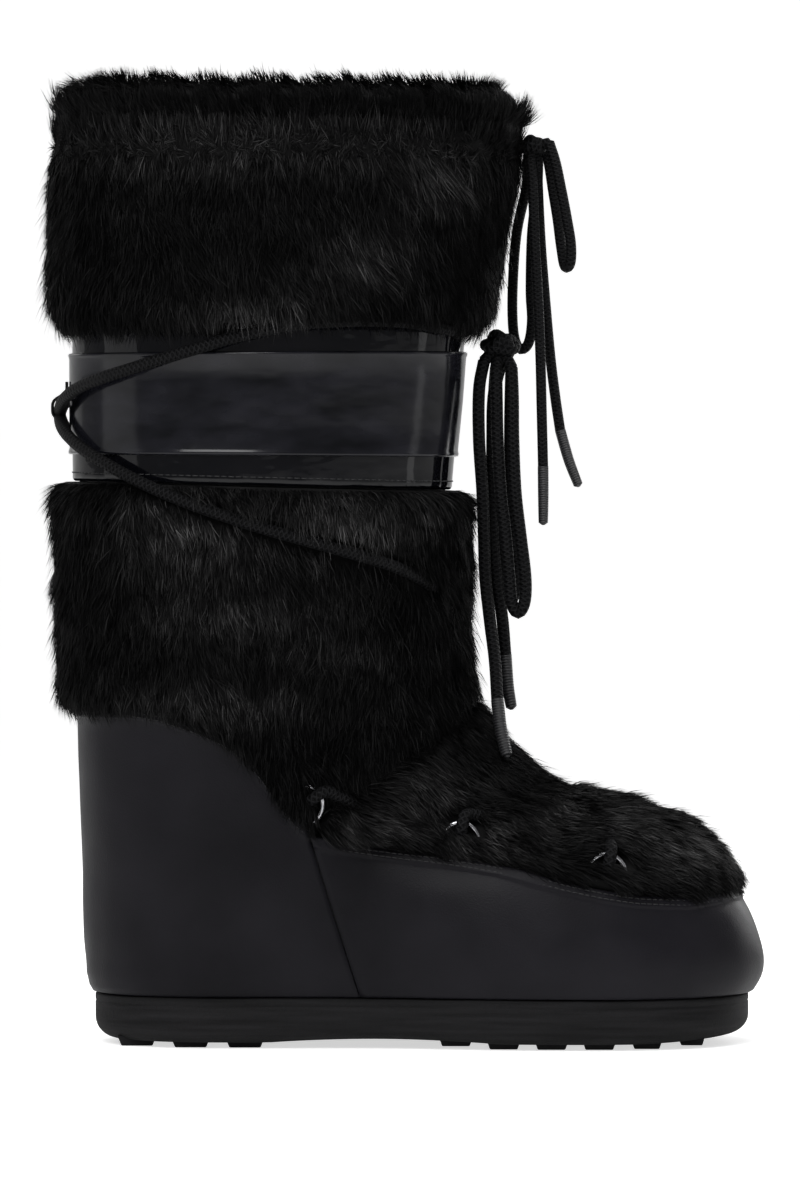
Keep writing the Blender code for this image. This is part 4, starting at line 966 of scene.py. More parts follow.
@dataclass
class Shells:
    """The moulded heel and toe shells, with their stitched edges."""

    columns: int = 150
    stitch: float = 0.0021
    space: float = 0.0007
    threads: list[Tube] = field(default_factory=list)

    def sheet(self, name: str, ends: Callable[[Array], tuple[Array, Array]],
              table: Sequence[Sequence[float]], finishes: Finishes, node: str) -> None:
        """One shell from its lower to its upper edge.

        Args:
            name: name of the piece.
            ends: gives the angles of its first and its last column at places v.
            table: the upper edge.
            finishes: the boot's finishes.
            node: the CAD node that it stands for.
        """
        share = np.linspace(0, 1, self.columns)

        def columns_at(v: Array) -> Array:
            """Angles of the columns, each at its own place v."""
            first, last = ends(v)
            return first + (last - first) * share

        def meet(target: Height) -> Array:
            """Where each column meets a height that depends on x."""
            v = np.full(self.columns, SEAM_ROWS)
            for _ in range(5):
                v = place_under(columns_at(v), target)
            return v

        high, band = meet(edge(table)), meet(edge(table, -RAND_TALL))
        rows = []
        plain = [(0.0, 0.25), (0.012, 0.62), (0.035, 0.86), (0.07, 1.0)]
        plain += [(part, 1.0) for part in np.linspace(0.13, 0.97, 18)]
        for part, lift in plain:
            rows.append((band * part, LAY + SHELL_WALL * lift))
        for part, lift in ((-0.10, 0.0), (0.02, 0.25), (0.10, 0.85), (0.22, 1.0), (0.40, 1.0),
                           (0.62, 1.0), (0.82, 0.9), (0.95, 0.55), (1.0, 0.05)):
            rows.append((band + (high - band) * part, LAY + SHELL_WALL + RAND_STEP * lift))
        grid = []
        for v, lift in rows:
            theta = columns_at(v)
            points = skin(theta, v, lift)
            soft = waves(points, 0.055, 11) * 0.00035 + waves(points, 0.021, 5) * 0.00009
            grid.append(skin(theta, v, lift + soft * np.minimum(1, v / 0.4)))
        obj = wrapped(name, np.array(grid), False)
        thicken(obj, SHELL_WALL * 0.8)
        dress(obj, finishes.shell, "shell", node)
        for part in (0.30, 0.66):
            v = band + (high - band) * part
            theta = columns_at(v)
            row = skin(theta, v, LAY + SHELL_WALL + RAND_STEP * 1.02)
            self.threads += stitch_row(row, normal(theta, v), self.stitch, self.space, THREAD)

    def seam(self, shift: float) -> Callable[[Array], Array]:
        """Theta of the seam between the shells, by v: it is straight as seen from the side."""
        xs = [row[0] * BOOT_LENGTH for row in SHELL_SEAM[::-1]]
        zs = height([row[1] for row in SHELL_SEAM[::-1]])
        places = np.linspace(0, SEAM_ROWS, 60)
        back_x, _, front_x = ring_at(places)[:3]
        theta = np.full(len(places), math.pi / 2)
        for _ in range(8):
            x = np.interp(form(theta, places)[:, 2], zs, xs) + shift
            theta = np.arccos(1 - 2 * (x - back_x) / (front_x - back_x))
        return lambda v: np.interp(v, places, theta)

    def build(self, finishes: Finishes) -> None:
        """Makes both shells and their stitches."""
        behind, ahead = self.seam(-GAP), self.seam(GAP)
        self.sheet("heel_cup", lambda v: (-behind(v), behind(v)), HEEL_EDGE, finishes, "heel_shell")
        self.sheet("toe_cap", lambda v: (ahead(v), 2 * math.pi - ahead(v)), TOE_EDGE, finishes,
                   "toe_shell")
        dress(joined("shell_stitches", self.threads), finishes.thread, "shell")


@dataclass
class Band:
    """The glossy band round the shaft and the raised strip on it."""

    columns: int = 180
    stitch: float = 0.0024
    space: float = 0.0008

    def build(self, finishes: Finishes) -> None:
        """Makes the band, the strip and the band's stitches."""
        theta = np.arange(self.columns) * 2 * math.pi / self.columns
        low = place_under(theta, edge(BAND_LOW))
        high = place_under(theta, edge(BAND_HIGH, -GAP))
        rows = []
        for share in np.concatenate([[0, 0.006, 0.02, 0.045], np.linspace(0.07, 0.985, 24), [1.0]]):
            near = min(share, 1 - share)
            fold = np.sin(theta * 41 + 3 * np.sin(theta * 5))
            pucker = math.exp(-((near / 0.06) ** 2)) * 0.00012 * fold
            lift = LAY + BAND_WALL * (0.55 + 0.45 * min(1.0, (near / 0.02) ** 0.5)) + pucker
            rows.append(skin(theta, low + (high - low) * share, lift))
        band = wrapped("shaft_band", np.array(rows), True)
        thicken(band, BAND_WALL * 0.7)
        dress(band, finishes.patent, "patent", "band")
        v = low + (high - low) * 0.055
        row = skin(theta, v, LAY + BAND_WALL * 1.03)
        stitches = stitch_row(row, normal(theta, v), self.stitch, self.space, THREAD)
        dress(joined("band_stitches", stitches), finishes.thread, "patent")
        seat = LAY + BAND_WALL + GAP
        low = place_under(theta, edge(STRIP_LOW))
        high = place_under(theta, edge(STRIP_HIGH))
        rows = []
        for share, lift in ((0.0, 0.1), (0.004, 0.75), (0.014, 1.12), (0.028, 1.15), (0.042, 1.0),
                            (0.060, 0.8), (0.30, 0.8), (0.5, 0.82), (0.70, 0.8), (0.940, 0.8),
                            (0.958, 1.0), (0.972, 1.15), (0.986, 1.12), (0.996, 0.75), (1.0, 0.1)):
            rows.append(skin(theta, low + (high - low) * share, seat + STRIP_WALL * lift))
        strip = wrapped("raised_strip", np.array(rows), True)
        thicken(strip, STRIP_WALL * 0.5)
        dress(strip, finishes.strip, "patent", "band_strip")


@dataclass
class Keeper:
    """The woven loop at the back of the band, drawn down round the crossing of the lace."""

    half_wide: float = 0.0060
    wall: float = 0.0011
    reach: float = 0.0118
    arch: float = 0.0058

    def build(self, finishes: Finishes) -> None:
        """Makes the loop: one flat tape that rises over the lace and lies down on the strip."""
        seat = LAY + BAND_WALL + 2 * GAP + STRIP_WALL + self.wall / 2
        over = seat + LACE_WIDE + 3 * GAP
        middle = float(height(1.498))
        line = []
        for away in np.linspace(-self.reach, self.reach, 61):
            rise = math.exp(-abs(away / self.arch) ** 4)
            _, v = place_at(-0.5 * BOOT_LENGTH, middle + away)
            point = skin(np.array(0.0), np.array(v), np.array(seat + (over - seat) * rise))
            line.append((point[0], 0.0, middle + away))
        line = evenly(np.array(line), 0.0007)
        ahead = np.gradient(line, axis=0)
        out = np.cross(ahead, (0.0, 1.0, 0.0))
        out /= np.linalg.norm(out, axis=1, keepdims=True)
        turn = np.arange(20) * 2 * math.pi / 20
        flat = np.sign(np.cos(turn)) * np.abs(np.cos(turn)) ** 0.35 * self.half_wide
        thick = np.sign(np.sin(turn)) * np.abs(np.sin(turn)) ** 0.6 * self.wall / 2
        section = flat[:, None] * np.array([0.0, 1.0, 0.0]) + thick[:, None] * out[:, None]
        grid = line[:, None] + section
        grid = np.concatenate([grid[:1] * 0 + line[0], grid, grid[:1] * 0 + line[-1]])
        dress(wrapped("lace_keeper", grid, True), finishes.webbing, "webbing", "back_loop")


@dataclass
class Eyelet:
    """The place of one D-ring and its own axes: along the shell's edge, up and out."""

    index: int
    side: Side

    def __post_init__(self) -> None:
        """Works out the axes from the form."""
        share, level = EYELETS[self.index - 1]
        x, z = share * BOOT_LENGTH, float(height(level))
        if x < SHELL_SEAM[0][0] * BOOT_LENGTH:
            line, first, second = edge(HEEL_EDGE), x - 0.010, x - 0.002
        else:
            line, first, second = edge(TOE_EDGE), x - 0.004, x + 0.004
        slope = float(line(second) - line(first)) / (second - first)
        theta, v = place_at(x, z)
        ahead = place_at(x + 0.004, z + slope * 0.004)
        flip = np.array([1.0, self.side.value, 1.0])
        self.root = Vector(form(np.array(theta), np.array(v)) * flip)
        self.out = Vector(normal(np.array(theta), np.array(v)) * flip).normalized()
        along = Vector(form(np.array(ahead[0]), np.array(ahead[1])) * flip) - self.root
        self.along = (along - self.out * along.dot(self.out)).normalized()
        self.up = self.out.cross(self.along).normalized()
        if self.up.z < 0:
            self.up.negate()

    def at(self, along: float, up: float, out: float) -> Vector:
        """A point in the eyelet's own axes."""
        return self.root + self.along * along + self.up * up + self.out * out

    def ring_line(self) -> Array:
        """The middle line of the D-ring: a straight bar and a round arc."""
        half = (RING_WIDE - RING_WIRE) / 2
        points = [(share * half, 0.0) for share in np.linspace(-1, 1, 9)]
        for turn in np.linspace(8, 172, 22):
            a = math.radians(turn)
            points.append((half * math.cos(a) * 1.02, 0.0016 + (RING_TALL - 0.0016) * math.sin(a)))
        return np.array([self.at(x, up, BAR_OUT + (ARC_OUT - BAR_OUT) * up / RING_TALL)
                         for x, up in points])


def tree_of(points: Array) -> KDTree:
    """A search tree of points."""
    tree = KDTree(len(points))
    for k, point in enumerate(points):
        tree.insert(point, k)
    tree.balance()
    return tree


def distance(tree: KDTree, points: Array) -> Array:
    """How far each point is from the nearest one of a tree."""
    return np.array([tree.find(Vector(point))[2] for point in points])


@dataclass
class Parting:
    """What the fur parts round: the lace that lies on it, the lace sunk in it, and the rings."""

    shown: KDTree
    sunk: KDTree
    rings: KDTree


@dataclass
class Lacing:
    """The D-rings and the lace that runs through them and round the leg."""

    eyelets: list[Eyelet] = field(
        default_factory=lambda: [Eyelet(k, side) for k in (1, 2, 3) for side in Side]
    )

    def ring(self, index: int, side: Side) -> Eyelet:
        """The eyelet of a number on a side."""
        return next(e for e in self.eyelets if e.index == index and e.side is side)

    @staticmethod
    def run(points: Sequence[Sequence[float]], start: Array | None, stop: Array | None,
            flip: int = 1, sink: float = 0.0) -> Array:
        """The middle line of one run over the form, between eyelets."""
        rows = []
        last = None
        for x, level, side, lift in points:
            theta, v = place_at(x * BOOT_LENGTH, float(height(level)))
            theta *= side
            if last is not None:
                theta += 2 * math.pi * round((last - theta) / (2 * math.pi))
            last = theta
            rows.append((theta, v, LAY + lift * FUR_DEEP))
        rows = smooth_curve(rows, 0.02)
        front = np.clip(-np.cos(rows[:, 0]), 0, 1)
        lift = rows[:, 2] - sink * front * np.exp(-((np.sin(rows[:, 0]) / 0.35) ** 2))
        line = skin(rows[:, 0], rows[:, 1], lift)
        low = np.clip((BURIED_BELOW + BURIED_BLEND / 2 - line[:, 2]) / BURIED_BLEND, 0, 1)
        line = skin(rows[:, 0], rows[:, 1], np.maximum(lift - BURIED * low, BURIED_FLOOR))
        if start is not None:
            line = np.vstack([start, line])
        if stop is not None:
            line = np.vstack([line, stop])
        line[:, 1] *= flip
        return line

    @staticmethod
    def through(eyelet: Eyelet, table: Sequence[Sequence[float]], inward: bool) -> Array:
        """Points of the lace at one ring."""
        points = [eyelet.at(0.0, up, out) for up, out in table]
        return np.array(points if inward else points[::-1])

    def lines(self) -> list[Array]:
        """The middle lines of all the runs."""
        near = {k: self.ring(k, Side.NEAR) for k in (1, 2, 3)}
        far = {k: self.ring(k, Side.FAR) for k in (1, 2, 3)}
        lines = [self.run(BAR, self.through(near[3], OVER, False), self.through(far[3], OVER, True))]
        for flip, sink in ((1, 0.0), (-1, CROSSING_SINK)):
            lines.append(self.run(CROSS_LOW, self.through(near[3], UNDER, True),
                                  self.through(far[2], OVER, True), flip, sink))
            lines.append(self.run(CROSS_HIGH, self.through(near[2], UNDER, True),
                                  self.through(far[1], OVER, True), flip, sink))
            lines.append(self.run(WRAP, self.through(near[1], UNDER, True), None, flip, sink))
        return [smooth_curve(evenly(line, 0.004), LACE_STEP) for line in lines]

    def build(self, finishes: Finishes) -> Parting:
        """Makes the rings and the lace.

        Returns:
            The lines that the fur parts round.
        """
        lines = self.lines()
        tubes = [tube_arrays(line, LACE_WIDE / 2, LACE_SIDES) for line in lines]
        lace = joined("wrapped_lace", tubes)
        dress(lace, finishes.braid, "braid", "lace")
        points = np.vstack(lines)
        low = points[:, 2] < BURIED_BELOW
        rings = []
        for eyelet in self.eyelets:
            line = eyelet.ring_line()
            line = evenly(np.vstack([line, line[:1]]), RING_STEP)[:-1]
            name = f"d_ring_{eyelet.index}_{eyelet.side.name.lower()}"
            ring = joined(name, [tube_arrays(line, RING_WIRE / 2, RING_SIDES, closed=True)])
            dress(ring, finishes.metal, "ring_metal",
                  f"ring_{eyelet.index}_{eyelet.side.name.lower()}")
            rings.append(line)
        return Parting(tree_of(points[~low]), tree_of(points[low]), tree_of(np.vstack(rings)))


@dataclass
class Cord:
    """One free cord: a smooth line through its points, with what is on its end."""

    name: str
    node: str
    points: Sequence[Sequence[float]]
    wide: float
    far_end: str
    tip_node: str = ""
    tip_points: Sequence[Sequence[float]] = ()

    def build(self, finishes: Finishes, extra: Sequence[bpy.types.Object] = ()) -> None:
        """Args:
            finishes: the boot's finishes.
            extra: other pieces on the cord, such as the knot that it leaves; not used.
        """
        line = smooth_curve(self.points, CORD_STEP)
        cord = joined(self.name, [tube_arrays(line, self.wide / 2, CORD_SIDES)])
        dress(cord, finishes.braid, "braid", self.node)
        on_it = list(extra)
        if self.tip_node:
            tip_line = smooth_curve(self.tip_points, TIP_STEP)
            taper = self.wide / 2 * (1.04 - 0.14 * np.linspace(0, 1, len(tip_line)) ** 3)
            tip = joined(self.name + "_tip", [tube_arrays(tip_line, taper, TIP_SIDES)])
            dress(tip, finishes.tip, "cord_tip", self.tip_node)
            on_it.append(tip)


@dataclass
class Cords:
    """The bow of the lace and the drawcord of the collar."""

    @staticmethod
    def knot(name: str, node: str, at: Sequence[float], wide: float, cord: float,
             starts: Sequence[Sequence[float]], finishes: Finishes) -> bpy.types.Object:
        """A tied knot: three crossed turns of the cord, and the roots of the strands that leave it.

        Args:
            name: name of the piece.
            node: the CAD node that it stands for.
            at: its middle.
            wide: its width.
            cord: the cord's diameter.
            starts: where the strands start, outside the knot.
            finishes: the boot's finishes.

        Returns:
            The piece.
        """
        turns = [tube_arrays(smooth_curve([at, start], 0.001), cord / 2 * 0.98, KNOT_SIDES)
                 for start in starts]
        middle = np.array(at)
        for tilt, swing, size in ((0.30, 0.1, 1.0), (-0.45, 1.2, 0.94), (1.15, 2.2, 0.88)):
            a = np.linspace(0, 2 * math.pi, 40, endpoint=False)
            reach = (wide - cord) / 2 * size
            ring = np.stack([np.cos(a) * reach, np.sin(a) * reach * 0.85,
                             np.sin(2 * a) * cord * 0.12], axis=1)
            ct, st, cs, ss = math.cos(tilt), math.sin(tilt), math.cos(swing), math.sin(swing)
            ring = ring @ np.array([[1, 0, 0], [0, ct, st], [0, -st, ct]])
            ring = ring @ np.array([[cs, ss, 0], [-ss, cs, 0], [0, 0, 1]])
            turns.append(tube_arrays(middle + ring, cord / 2, KNOT_SIDES, closed=True))
        obj = joined(name, turns)
        dress(obj, finishes.braid, "braid", node)
        return obj

    def build(self, finishes: Finishes) -> None:
        """Makes both knots and the eight strands."""
        bow = self.knot("bow_knot", "lace_knot", KNOT_AT, KNOT_WIDE, LACE_WIDE,
                        self.starts((LACE_LOOP_NEAR, LACE_LOOP_FAR), (LACE_END_NEAR, LACE_END_FAR)),
                        finishes)
        pull = self.knot("collar_knot", "drawcord_knot", DRAW_KNOT_AT, DRAW_KNOT_WIDE, CORD_WIDE,
                         self.starts((DRAW_LOOP_NEAR, DRAW_LOOP_FAR), (DRAW_END_LOW, DRAW_END_HIGH)),
                         finishes)
        for name, node, points in (("bow_near", "lace_loop_near", LACE_LOOP_NEAR),
                                   ("bow_far", "lace_loop_far", LACE_LOOP_FAR)):
            Cord(name, node, points, LACE_WIDE, "object").build(finishes)
        Cord("bow_end_near", "lace_end_near", LACE_END_NEAR, LACE_WIDE, "fitting",
             "lace_tip_near", LACE_TIP_NEAR).build(finishes, [bow])
        Cord("bow_end_far", "lace_end_far", LACE_END_FAR, LACE_WIDE, "fitting",
             "lace_tip_far", LACE_TIP_FAR).build(finishes)
        for name, node, points in (("collar_loop_near", "drawcord_loop_near", DRAW_LOOP_NEAR),
                                   ("collar_loop_far", "drawcord_loop_far", DRAW_LOOP_FAR)):
            Cord(name, node, points, CORD_WIDE, "object").build(finishes)
        Cord("collar_end_low", "drawcord_end_low", DRAW_END_LOW, CORD_WIDE, "fitting",
             "drawcord_tip_low", DRAW_TIP_LOW).build(finishes, [pull])
        Cord("collar_end_high", "drawcord_end_high", DRAW_END_HIGH, CORD_WIDE, "fitting",
             "drawcord_tip_high", DRAW_TIP_HIGH).build(finishes)

    @staticmethod
    def starts(loops: Sequence[Sequence[Sequence[float]]],
               ends: Sequence[Sequence[Sequence[float]]]) -> list[Sequence[float]]:
        """Where the strands leave their knot: both ends of each loop, and the start of each end."""
        return [loop[0] for loop in loops] + [loop[-1] for loop in loops] + [end[0] for end in ends]


def set_tone(mesh: bpy.types.Mesh, tones: Array) -> None:
    """Writes the fur's tone, one number a point."""
    layer = mesh.attributes.new("tone", "FLOAT", "POINT")
    layer.data.foreach_set("value", tones.astype(np.float32).ravel())


@dataclass
class Fur:
    """One deep fur: a soft backing and a coat of tapered fibres in clumps."""

    name: str
    node: str
    seed: int
    fibres: int
    long: float
    flow: Flow
    lace: Parting

    @staticmethod
    def hump(points: Array) -> Array:
        """The soft humps of the fur's backing, which the fibres' roots follow."""
        return waves(points, 0.030, 31) * 0.0009

    def backing(self, finishes: Finishes, grid_of: Grid, closed: bool) -> None:
        """The cloth under the fibres, with soft humps and a trough along the lace."""
        theta, v, lift = grid_of(*BACKING_GRID)
        if closed:
            theta, v, lift = theta[:, :-1], v[:, :-1], lift[:, :-1]
        points = skin(theta, v, lift)
        flat = points.reshape(-1, 3)
        lift = lift + self.hump(points)
        near = np.minimum(distance(self.lace.shown, flat), distance(self.lace.rings, flat))
        near = np.minimum(near, distance(self.lace.sunk, flat)).reshape(lift.shape)
        lift = lift - TROUGH[0] * np.exp(-((near / TROUGH[1]) ** 2))
        points = skin(theta, v, np.maximum(lift, LAY))
        obj = wrapped(self.name + "_backing", points, closed)
        set_tone(obj.data, np.full(len(obj.data.vertices), BACKING_TONE))
        dress(obj, finishes.fur, "fur", self.node)

    def coat(self, finishes: Finishes, roots: Array, outs: Array) -> None:
        """The fibres: bent tapered blades, drawn together in clumps.

        Args:
            finishes: the boot's finishes.
            roots: where the fibres start.
            outs: outward directions there.
        """
        rng = np.random.default_rng(self.seed)
        middle, tips = self.bent(roots, outs, rng)
        keep = self.clear_of_lace(middle, tips, rng)
        roots, tips, middle, outs = roots[keep], tips[keep], middle[keep], outs[keep]
        furrow = np.exp(-((distance(self.lace.sunk, tips) / FURROW[1]) ** 2))
        tips = tips - outs * (FURROW[0] * furrow)[:, None]
        points = self.blades(roots, middle, tips, outs, rng)
        base = np.arange(len(roots))[:, None] * 5
        quads = base + np.array([[0, 1, 3, 2]])
        ends = base + np.array([[2, 3, 4]])
        mesh = bpy.data.meshes.new(self.name)
        mesh.from_pydata((points + np.array([SOLE_AHEAD, 0.0, 0.0])).tolist(), [],
                         quads.tolist() + ends.tolist())
        mesh.shade_smooth()
        # The tone grows from the root to the tip, so the painted sheen sits mostly on the tips.
        along = np.array([0.12, 0.12, 0.7, 0.7, 1.1])
        set_tone(mesh, self.tones(roots, furrow, rng)[:, None] * along[None])
        obj = bpy.data.objects.new(self.name, mesh)
        bpy.context.scene.collection.objects.link(obj)
        dress(obj, finishes.fur, "fur", self.node)

    def bent(self, roots: Array, outs: Array, rng: np.random.Generator) -> tuple[Array, Array]:
        """Middles and tips of the fibres, which lie along the flow and lean to their clump's head."""
        count = len(roots)
        way = self.flow(roots)
        way = way - outs * np.sum(way * outs, axis=1, keepdims=True)
        way /= np.maximum(np.linalg.norm(way, axis=1, keepdims=True), 1e-9)
        across = np.cross(way, outs)
        swirl = 0.34 * waves(roots, 0.050, self.seed + 1) + 0.20 * waves(roots, 0.013, self.seed + 2)
        swirl = (swirl + rng.normal(0, 0.19, count))[:, None]
        way = way * np.cos(swirl) + across * np.sin(swirl)
        stray = rng.random(count) < STRAYS
        stand = 0.27 + 0.13 * waves(roots, 0.024, self.seed + 3) + rng.normal(0, 0.06, count)
        stand = np.clip(stand + 0.35 * stray, *STAND)[:, None]
        long = self.long * (0.80 + 0.16 * waves(roots, 0.016, self.seed + 4)
                            + rng.normal(0, 0.12, count) + 0.2 * stray)[:, None]
        long = np.clip(long, self.long * 0.3, self.long * 1.4)
        tips = roots + (way * (1 - 0.35 * stand) + outs * stand) * long
        heads = rng.choice(count, max(8, count // CLUMP), replace=False)
        tree = tree_of(roots[heads])
        owner = heads[np.array([tree.find(Vector(root))[1] for root in roots])]
        pull = (0.20 + 0.16 * waves(roots, 0.03, self.seed + 5))[:, None]
        tips = tips + (tips[owner] - tips) * np.clip(pull, 0.05, 0.5)
        return roots + (tips - roots) * 0.48 + outs * long * (0.10 * stand + 0.03), tips

    @staticmethod
    def blades(roots: Array, middle: Array, tips: Array, outs: Array,
               rng: np.random.Generator) -> Array:
        """The five points of each fibre: two at its root, two at its middle and its tip."""
        count = len(roots)
        side = np.cross(tips - roots, outs)
        side /= np.maximum(np.linalg.norm(side, axis=1, keepdims=True), 1e-9)
        roll = rng.normal(0, 0.5, count)[:, None]
        side = side * np.cos(roll) + outs * np.sin(roll)
        wide = (BLADE[0] + BLADE[1] * rng.random(count))[:, None]
        return np.stack([roots - side * wide, roots + side * wide, middle - side * wide,
                         middle + side * wide, tips], axis=1).reshape(-1, 3)

    def tones(self, roots: Array, furrow: Array, rng: np.random.Generator) -> Array:
        """How grey each fibre is: soft patches of painted sheen with random flecks in them, and
        painted shade that darkens the fibres over the sunk lace.
        """
        count = len(roots)
        # Painted sheen: soft grey patches where light would glance off the fibres, broken up below by
        # small clouds and flecks.
        sheen_patch = 0.5 + 0.5 * waves(roots * np.array([0.8, 0.8, 1.3]), 0.034, self.seed + 6)
        sheen_patch = np.clip(sheen_patch, 0, 1) ** 2 * 0.10
        # Painted sheen: the listed spots where light glances off the fibres are made greyer.
        for x, z, reach_x, reach_z, weight in SHEEN_SPOTS:
            away = ((roots[:, 0] - x) / reach_x) ** 2 + ((roots[:, 2] - z) / reach_z) ** 2
            sheen_patch = sheen_patch + weight * np.exp(-away)
        fleck = 1.25 * rng.random(count) ** 4
        cloud = np.clip(0.75 + 0.5 * waves(roots, 0.011, self.seed + 7), 0.15, 1.5)
        tone = np.clip(0.004 + 0.85 * sheen_patch * cloud * (0.18 + fleck) + 0.035 * fleck, 0, 1)
        # Painted shade: the fibres over the sunk lace are darkened in the furrow.
        return tone * (1 - 0.85 * furrow)

    def clear_of_lace(self, middle: Array, tips: Array, rng: np.random.Generator) -> Array:
        """Which fibres lie clear of the lace and the rings; a few are left to lap over them."""
        near = np.minimum(distance(self.lace.shown, middle), distance(self.lace.shown, tips))
        ring = np.minimum(distance(self.lace.rings, middle), distance(self.lace.rings, tips))
        clear = (near > CLEAR_OF_LACE) | (rng.random(len(near)) < 0.10)
        return clear & (ring > CLEAR_OF_RINGS)

    def sow(self, grid_of: Grid, span: tuple[float, float]) -> tuple[Array, Array]:
        """Picks roots evenly by area over the fur's own grid, clear of the lace.

        Args:
            grid_of: gives theta, v and lift of a grid of rows and columns.
            span: the share of the rows that is sown.

        Returns:
            Roots and outward directions.
        """
        rng = np.random.default_rng(self.seed + 40)
        theta, v, lift = grid_of(*SOWING_GRID)
        first, last = (int(share * (SOWING_GRID[0] - 1)) for share in span)
        theta, v, lift = theta[first:last + 1], v[first:last + 1], lift[first:last + 1]
        points = skin(theta, v, lift)
        across = points[:-1, 1:] - points[:-1, :-1]
        up = points[1:, :-1] - points[:-1, :-1]
        area = np.linalg.norm(np.cross(across, up), axis=-1).ravel()
        outs = np.cross(np.gradient(points, axis=0), np.gradient(points, axis=1))
        outs /= np.maximum(np.linalg.norm(outs, axis=-1, keepdims=True), 1e-12)
        plain = normal(theta, v)
        outs *= np.sign(np.sum(outs * plain, axis=-1, keepdims=True))
        cell = rng.choice(len(area), self.fibres, p=area / area.sum())
        row, column = np.divmod(cell, theta.shape[1] - 1)
        f, g = rng.random(self.fibres), rng.random(self.fibres)

        def mixed(table: Array) -> Array:
            """A table read between its rows and columns."""
            low = (table[row, column].T * (1 - g) + table[row, column + 1].T * g).T
            high = (table[row + 1, column].T * (1 - g) + table[row + 1, column + 1].T * g).T
            return (low.T * (1 - f) + high.T * f).T

        outs = mixed(outs)
        outs /= np.linalg.norm(outs, axis=1, keepdims=True)
        theta, v, lift = mixed(theta), mixed(v), mixed(lift)
        roots = skin(theta, v, lift + self.hump(skin(theta, v, lift)) - ROOTS_SUNK)
        keep = (distance(self.lace.shown, roots) > ROOTS_OFF_LACE) | (rng.random(self.fibres) < 0.06)
        keep &= distance(self.lace.rings, roots) > ROOTS_OFF_RINGS
        return roots[keep], outs[keep]


